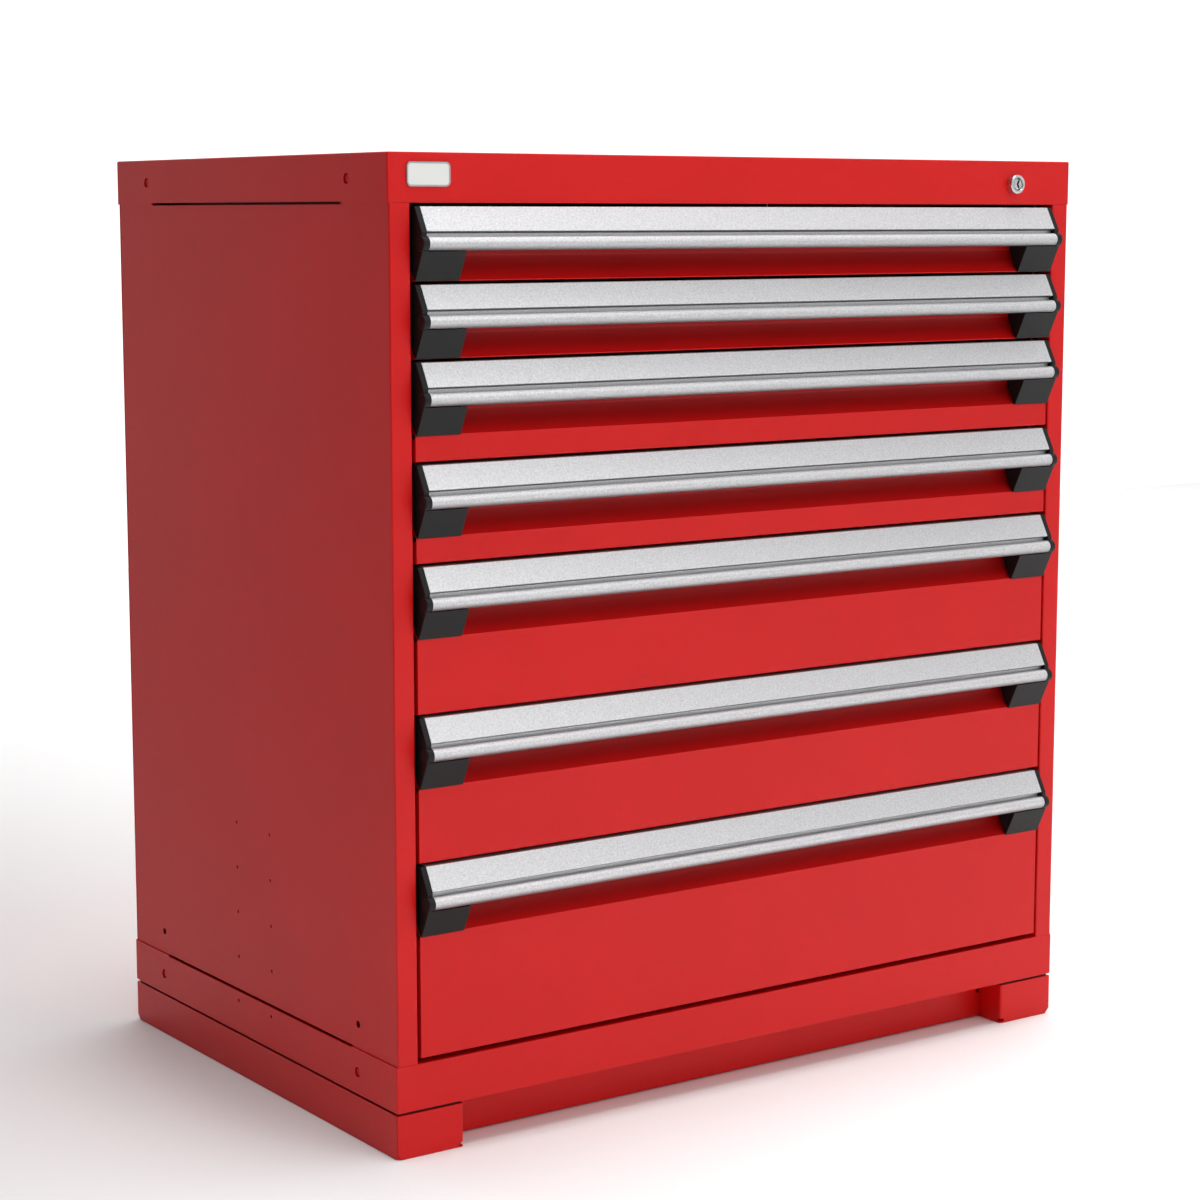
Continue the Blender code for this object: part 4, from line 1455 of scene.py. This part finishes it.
@dataclass
class PullRail:
    """Aluminium extrusion over the top of a drawer's front, with a plastic cap at each end.

    Heights are counted from the front's upper edge.

    Attributes:
        layout: Planes of the chest.
        number: Number of its drawer.
        grip_radius: Radius of the round grip.
        grip: Centre of the grip.
        plate_top: Upper edge of the label plate.
        plate_bottom: Lower edge of the label plate.
        wall: Thickness of the extrusion.
        back: Distance to the extrusion's back, and to the back of the painted upstand under it.
        leg_bottom: Lower end of that upstand.
        neck: Front and back face of the neck that holds the grip.
        half: Half the extrusion's length.
        outer: Distance from the middle to the caps' outer faces.
        web_inner: Distance from the middle to the webs' inner faces.
        web_top: Upper edge of the webs.
        foot: Lower edge of the webs.
        boss: Radius of the caps' bosses.
        boss_proud: How far the bosses stand out of the caps' outer faces.
        boss_fillet: Radius of the bosses' rims.
        rounding: Radius of the extrusion's outer corners and of its inner ones.
        edges: Width of the broken edges of the extrusion, the upstand and the caps.
    """

    layout: Layout
    number: int
    grip_radius: float = 0.0070
    grip: Point = (-0.0134, -0.0364)
    plate_top: Point = (-0.0017, -0.0002)
    plate_bottom: Point = (-0.0149, -0.0244)
    wall: float = 0.0020
    back: float = 0.0147
    leg_bottom: float = -0.0482
    neck: Point = (-0.0084, -0.0066)
    half: float = 0.4216
    outer: float = 0.4280
    web_inner: float = 0.3770
    web_top: float = -0.0438
    foot: tuple[Point, Point] = ((-0.0021, -0.0730), (-0.0009, -0.0730))
    boss: float = 0.0077
    boss_proud: float = 0.0012
    boss_fillet: float = 0.0014
    rounding: Point = (0.0008, 0.0012)
    edges: Place = (0.0002, 0.0003, 0.0004)

    @property
    def body(self) -> str:
        """Body that the rail rides on."""
        return f"drawer_{self.number}"

    def section(self) -> list[Point]:
        """Outline of the extrusion: top flange, label plate, groove, grip and neck.

        Returns:
            The outline.
        """
        slope = Vector(self.plate_bottom) - Vector(self.plate_top)
        inward = Vector((-slope.y, slope.x)).normalized() * self.wall
        inside = Vector(self.plate_top) + inward
        ceiling = self.plate_top[1] - self.wall
        plate_y = inside.x + (ceiling - inside.y) * slope.x / slope.y
        neck_z = inside.y + (self.neck[1] - inside.x) * slope.y / slope.x
        start, end = (math.degrees(math.acos((face - self.grip[0]) / self.grip_radius))
                      for face in self.neck)
        plate = eased([(self.back, self.plate_top[1]), self.plate_top, self.plate_bottom,
                       (self.neck[0], self.plate_bottom[1] - self.wall)], self.rounding[0])
        inner = eased([(self.neck[1], neck_z - 0.004), (self.neck[1], neck_z), (plate_y, ceiling),
                       (self.back, ceiling)], self.rounding[1])
        return [*plate, *arc(self.grip, self.grip_radius, start, 360.0 + end, 40), *inner]

    def cap_sections(self) -> tuple[list[Point], list[Point]]:
        """Outlines of an end cap's outer plate and of the web under the grip.

        Returns:
            Both outlines.
        """
        shoulder = (self.grip[0] - 0.0030, self.web_top)
        leg = self.back - self.wall - GAP
        plate = [(self.back, self.plate_top[1]), self.plate_top,
                 (self.plate_bottom[0] - 0.0004, self.plate_bottom[1] - 0.0008),
                 *arc(self.grip, self.boss - 0.0008, 100.0, 245.0, 20), shoulder, *self.foot,
                 (self.back - 0.0005, self.leg_bottom - 0.0002), (self.back, self.web_top)]
        web = [shoulder, *self.foot, (leg, self.leg_bottom - 0.0012), (leg, self.web_top)]
        return plate, web

    def build_extrusion(self, top: float) -> None:
        """Build the extrusion, and the painted upstand under it.

        Args:
            top: Height of the front's upper edge.
        """
        ends = (-self.half, self.half)
        outline = shifted(self.section(), self.layout.front, top)
        rail = prism(f"pull_rail_{self.number}", Run.ALONG_X, ends, outline)
        dress(softened(rail, self.edges[0]), ALUMINIUM, Slot.ALUMINIUM, self.body,
              f"handle_{self.number}")
        low = (-self.half, self.layout.behind(self.back - self.wall), top + self.leg_bottom)
        high = (self.half, self.layout.behind(self.back),
                top + self.plate_top[1] - self.wall - GAP)
        strip = softened(block(f"front_upstand_{self.number}", low, high), self.edges[1])
        # The upstand takes the fronts' coat, which paints shade on it deep in the recess.
        dress(strip, RED_FRONT, Slot.RED, self.body)

    def build_caps(self, top: float) -> None:
        """Build the end caps.

        Args:
            top: Height of the front's upper edge.
        """
        plate, web = (shifted(part, self.layout.front, top) for part in self.cap_sections())
        inner, fillet = self.half + GAP, self.boss_fillet
        cap = prism(f"rail_end_right_{self.number}", Run.ALONG_X, (inner, self.outer), plate)
        wedge = prism("web", Run.ALONG_X, (self.web_inner, (self.half + self.outer) / 2.0), web)
        cap = softened(joined(cap, wedge), self.edges[2])
        tip = self.outer + self.boss_proud
        rim = arc((tip - fillet, self.boss - fillet), fillet, 90.0, 0.0, 6)
        centre = (0.0, self.layout.behind(self.grip[0]), top + self.grip[1])
        boss = turned("boss", [(inner, 0.0), (inner, self.boss), *rim, (tip, 0.0)], Run.ALONG_X,
                      centre, 40)
        dress_pair(softened(joined(cap, boss)), NYLON, Slot.PLASTIC, self.body,
                   f"end_cap_right_{self.number}")

    def build(self) -> None:
        """Build the extrusion and its end caps."""
        top = self.layout.levels[self.number - 1][1]
        self.build_extrusion(top)
        self.build_caps(top)


@dataclass
class Slides:
    """Cabinet rails on their uprights, and the middle members that run in them.

    Attributes:
        layout: Planes of the chest.
        edge: Width of the broken edges.
        slide_lift: Slide axis above a drawer front's lower edge.
        rollers: Rollers on the cabinet rails.
    """

    layout: Layout
    edge: float = 0.00025
    slide_lift: float = 0.0300
    rollers: Rollers = Rollers(0.4125, 0.4225, (0.050, 0.275))

    def build(self) -> None:
        """Build the frames, the middle members and the cabinet's rollers."""
        for side in Side:
            node = f"slide_frame_{side.word}"
            item = from_node(f"rail_frame_{side.word}", node, self.edge)
            dress(item, ZINC, Slot.ZINC, "root", node)
        for number, (bottom, _) in enumerate(self.layout.levels, start=1):
            for side in Side:
                node = f"middle_slide_{side.word}_{number}"
                item = from_node(f"slide_member_{side.word}_{number}", node, self.edge)
                dress(item, ZINC, Slot.ZINC, f"slides_{number}", node)
            self.rollers.build(f"cabinet_rollers_{number}", "root", self.layout,
                               bottom + self.slide_lift)


@dataclass
class Lock:
    """Cylinder lock in the cap, with the cam, the bar and its guides.

    Attributes:
        layout: Planes of the chest.
        radius: Radius of its head.
        proud: How far the head stands out.
        rim: Radius of the head's rounded rim.
        mouth: Depth and width of the chamfer round the plug.
        barrel: Radius of the barrel.
        plug: Radius of the plug.
        plug_edge: Width of the plug's chamfer.
        plug_sunk: Distance from the head's face back to the plug's.
        keyway: Outline of the cranked keyway, from the plug's centre.
        keyway_back: Distance from the front plane back to the keyway's end.
        lining: Distance from the plug's face to the near-black block that paints the keyway's
        shadow, and from the front plane back to its end.
    """

    layout: Layout
    radius: float = 0.0107
    proud: float = 0.0074
    rim: float = 0.0014
    mouth: Point = (0.0012, 0.0009)
    barrel: float = 0.0088
    plug: float = 0.0062
    plug_edge: float = 0.0007
    plug_sunk: float = 0.0005
    keyway: tuple[Point, ...] = (
        (0.0008, 0.0050), (0.0023, 0.0048), (0.0020, 0.0026), (0.0006, 0.0001), (0.0019, -0.0024),
        (0.0021, -0.0048), (0.0006, -0.0050), (-0.0009, -0.0030), (-0.0023, 0.0), (-0.0010, 0.0030))
    keyway_back: float = 0.0040
    lining: Point = (0.0008, 0.0035)

    @property
    def centre(self) -> Vector:
        """Centre of the lock in the front plane.

        Returns:
            The point.
        """
        middle = sum(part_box("lock_housing"), Vector(ORIGIN)) / 2.0
        return Vector((middle.x, self.layout.front, middle.z))

    def hole(self) -> Object:
        """Cutter for the lock's hole in the cap.

        Returns:
            The cutter.
        """
        x, y, z = self.centre
        circle = ring((x, z), self.barrel + GAP, 48)
        return prism("lock_hole", Run.ALONG_Y, (y - 0.005, y + 0.005), circle)

    def build_head(self) -> None:
        """Build the head, with a rounded rim and a chamfered mouth, on its barrel."""
        bore, face, (depth, width) = self.plug + GAP, -self.proud, self.mouth
        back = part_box("lock_housing")[1].y - self.layout.front
        corner = arc((face + self.rim, self.radius - self.rim), self.rim, 180.0, 90.0, 6)
        profile = [(back, bore), (face + depth, bore), (face, bore + width), *corner,
                   (-GAP, self.radius), (-GAP, self.barrel), (back, self.barrel), (back, bore)]
        head = turned("lock_head", profile, Run.ALONG_Y, tuple(self.centre), 64)
        dress(softened(head, angle=50.0), CHROME, Slot.CHROME, "root", "lock_housing")

    def build_plug(self) -> None:
        """Build the plug with its keyway, and a near-black block of painted shadow in it."""
        centre, edge = self.centre, self.plug_edge
        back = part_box("lock_plug")[1].y - self.layout.front
        front = self.plug_sunk - self.proud
        profile = [(front, 0.0), (front, self.plug - edge), (front + edge, self.plug),
                   (back, self.plug), (back, 0.0)]
        plug = turned("lock_core", profile, Run.ALONG_Y, tuple(centre), 48)
        outline = shifted(self.keyway, centre.x, centre.z)
        ends = (centre.y - 2.0 * self.proud, centre.y + self.keyway_back)
        cut(plug, prism("keyway", Run.ALONG_Y, ends, outline))
        dress(softened(plug, angle=50.0), CHROME, Slot.CHROME, "lock_plug", "lock_plug")
        # Near-black block in the keyway: painted shadow.
        ends = (centre.y + front + self.lining[0], centre.y + self.lining[1])
        lining = prism("lock_keyway", Run.ALONG_Y, ends, outline)
        dress(softened(lining), SHADOW, Slot.PLASTIC, "lock_plug")

    def build(self) -> None:
        """Build the lock's pieces."""
        self.build_head()
        self.build_plug()
        for name, node, edge, finish, slot, body in (
                ("lock_cam_plate", "lock_cam", 0.0003, ZINC, Slot.ZINC, "lock_plug"),
                ("hook_bar", "lock_bar", 0.00025, ZINC, Slot.ZINC, "lock_bar"),
                ("bar_guide_upper", "lock_bar_guide_upper", 0.0004, NYLON, Slot.PLASTIC, "root"),
                ("bar_guide_lower", "lock_bar_guide_lower", 0.0004, NYLON, Slot.PLASTIC, "root")):
            dress(from_node(name, node, edge), finish, slot, body, node)


@dataclass
class Badge:
    """Plain enamelled plate on the cap, with a raised rim.

    Attributes:
        corner: Radius of its corners.
        rim: Width of its rim.
        sunk: Depth of the enamelled field's face and of its well.
    """

    corner: float = 0.0050
    rim: float = 0.0016
    sunk: Point = (0.0002, 0.0004)

    def outline(self, inset: float) -> list[Point]:
        """Rounded rectangle inside the plate's edge.

        Args:
            inset: Its distance from the edge.

        Returns:
            The outline.
        """
        low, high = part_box("badge_plate")
        left, right, foot, top = low.x + inset, high.x - inset, low.z + inset, high.z - inset
        return eased([(left, foot), (right, foot), (right, top), (left, top)], self.corner - inset,
                     closed=True, steps=8)

    def build(self) -> None:
        """Build the rim and the enamelled field."""
        low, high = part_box("badge_plate")
        face, well = self.sunk
        plate = prism("badge_rim", Run.ALONG_Y, (low.y, high.y), self.outline(0.0))
        cut(plate, prism("badge_well", Run.ALONG_Y, (low.y - CLEAR, low.y + well),
                         self.outline(self.rim)))
        dress(softened(plate, 0.0002), ZINC, Slot.ENAMEL, "root", "badge_plate")
        inlay = prism("badge_field", Run.ALONG_Y, (low.y + face, low.y + face + well),
                      self.outline(self.rim + 0.0001))
        dress(softened(inlay, 0.0001), WHITE, Slot.ENAMEL, "root")


@dataclass
class Studio:
    """Pale floor, soft light and the camera.

    Attributes:
        layout: Planes of the chest.
        eye: Camera's place, with Y counted from the chest's front plane.
        tilt: Camera's rotation in degrees.
        lens: Focal length for a 36 mm sensor, in millimetres.
        surround: Axis of a direction's falloff, where along it the falloff starts and ends, and
            the surround's brightness there.
    """

    layout: Layout
    eye: Place = (-1.81617, -2.30254, 0.95447)
    tilt: Place = (81.958, 0.0, -34.967)
    lens: float = 81.638
    surround: tuple[tuple[str, Point, Point], ...] = (
        ("X", (-0.75, 0.0), (0.06, 1.0)), ("Y", (-0.6, 0.35), (0.72, 1.02)),
        ("Z", (0.0, 0.5), (1.2, 0.86)))

    def build_camera(self) -> None:
        """Put the camera at eye height, a little to the left of the chest."""
        data = bpy.data.cameras.new("studio_camera")
        data.lens = self.lens
        data.sensor_width = 36.0
        data.clip_end = 50.0
        camera = bpy.data.objects.new("studio_camera", data)
        camera.location = (self.eye[0], self.layout.behind(self.eye[1]), self.eye[2])
        camera.rotation_euler = [math.radians(angle) for angle in self.tilt]
        bpy.context.scene.collection.objects.link(camera)
        bpy.context.scene.camera = camera

    def build_floor(self) -> None:
        """Lay a large pale floor just under the plinth."""
        floor = block("studio_floor", (-9.0, -9.0, -0.02), (9.0, 4.2, -0.0004))
        floor.data.materials.append(FLOOR.build())

    def add_light(self, name: str, place: Place, target: Place, size: Point, power: float,
                  spread: float = 180.0) -> None:
        """Add a soft box with white light.

        Args:
            name: Name of the light.
            place: Its place.
            target: Point that it faces.
            size: Its width and height.
            power: Its power in watts.
            spread: Angle that its grid lets the light out in, in degrees.
        """
        data = bpy.data.lights.new(name, "AREA")
        data.shape = "RECTANGLE"
        data.size, data.size_y = size
        data.energy = power
        data.spread = math.radians(spread)
        light = bpy.data.objects.new(name, data)
        light.location = place
        light.rotation_euler = (Vector(target) - Vector(place)).to_track_quat("-Z", "Y").to_euler()
        bpy.context.scene.collection.objects.link(light)

    def build_surround(self) -> None:
        """Build a white surround that falls off towards the chest's left-hand side and front."""
        world = bpy.data.worlds.new("studio_surround")
        world.use_nodes = True
        tree = world.node_tree
        tree.nodes.clear()
        way = add_node(tree, "ShaderNodeTexCoord").outputs["Generated"]
        split = add_node(tree, "ShaderNodeSeparateXYZ", {"Vector": way})
        total = 1.0
        for axis, given, wanted in self.surround:
            ramp = add_node(tree, "ShaderNodeMapRange", ranged(split.outputs[axis], given, wanted),
                            interpolation_type="SMOOTHSTEP")
            total = add_node(tree, "ShaderNodeMath", {0: total, 1: ramp.outputs["Result"]},
                             operation="MULTIPLY").outputs[0]
        back = add_node(tree, "ShaderNodeBackground", {
            "Color": linear("#ffffff"), "Strength": total})
        add_node(tree, "ShaderNodeOutputWorld", {"Surface": back.outputs["Background"]})
        bpy.context.scene.world = world

    def build(self) -> None:
        """Build the studio: a key light, and a panel each over the back and the front floor."""
        self.build_camera()
        self.build_floor()
        self.build_surround()
        self.add_light("key_softbox", (0.25, -3.0, 3.3), (0.1, -0.3, 0.5), (2.2, 1.4), 27.0)
        self.add_light("ceiling_panel", (2.9, 2.0, 4.2), (2.9, 2.0, 0.0), (6.4, 5.4), 75.0, 40.0)
        self.add_light("front_ceiling_panel", (0.5, -2.3, 4.2), (0.5, -2.3, 0.0), (5.6, 3.8),
                       54.0, 36.0)
        bpy.context.scene.view_settings.view_transform = "Standard"


def main() -> None:
    """Build the chest's pieces in order."""
    logging.basicConfig(level=logging.INFO, format="%(name)s %(message)s")
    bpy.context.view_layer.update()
    layout = Layout.read()
    lock = Lock(layout)
    Studio(layout).build()
    Housing(layout).build(lock.hole())
    Plinth().build()
    for number in range(1, len(layout.levels) + 1):
        Drawer(layout, number).build()
        PullRail(layout, number).build()
    Slides(layout).build()
    lock.build()
    Badge().build()


if __name__ == "__main__":
    main()
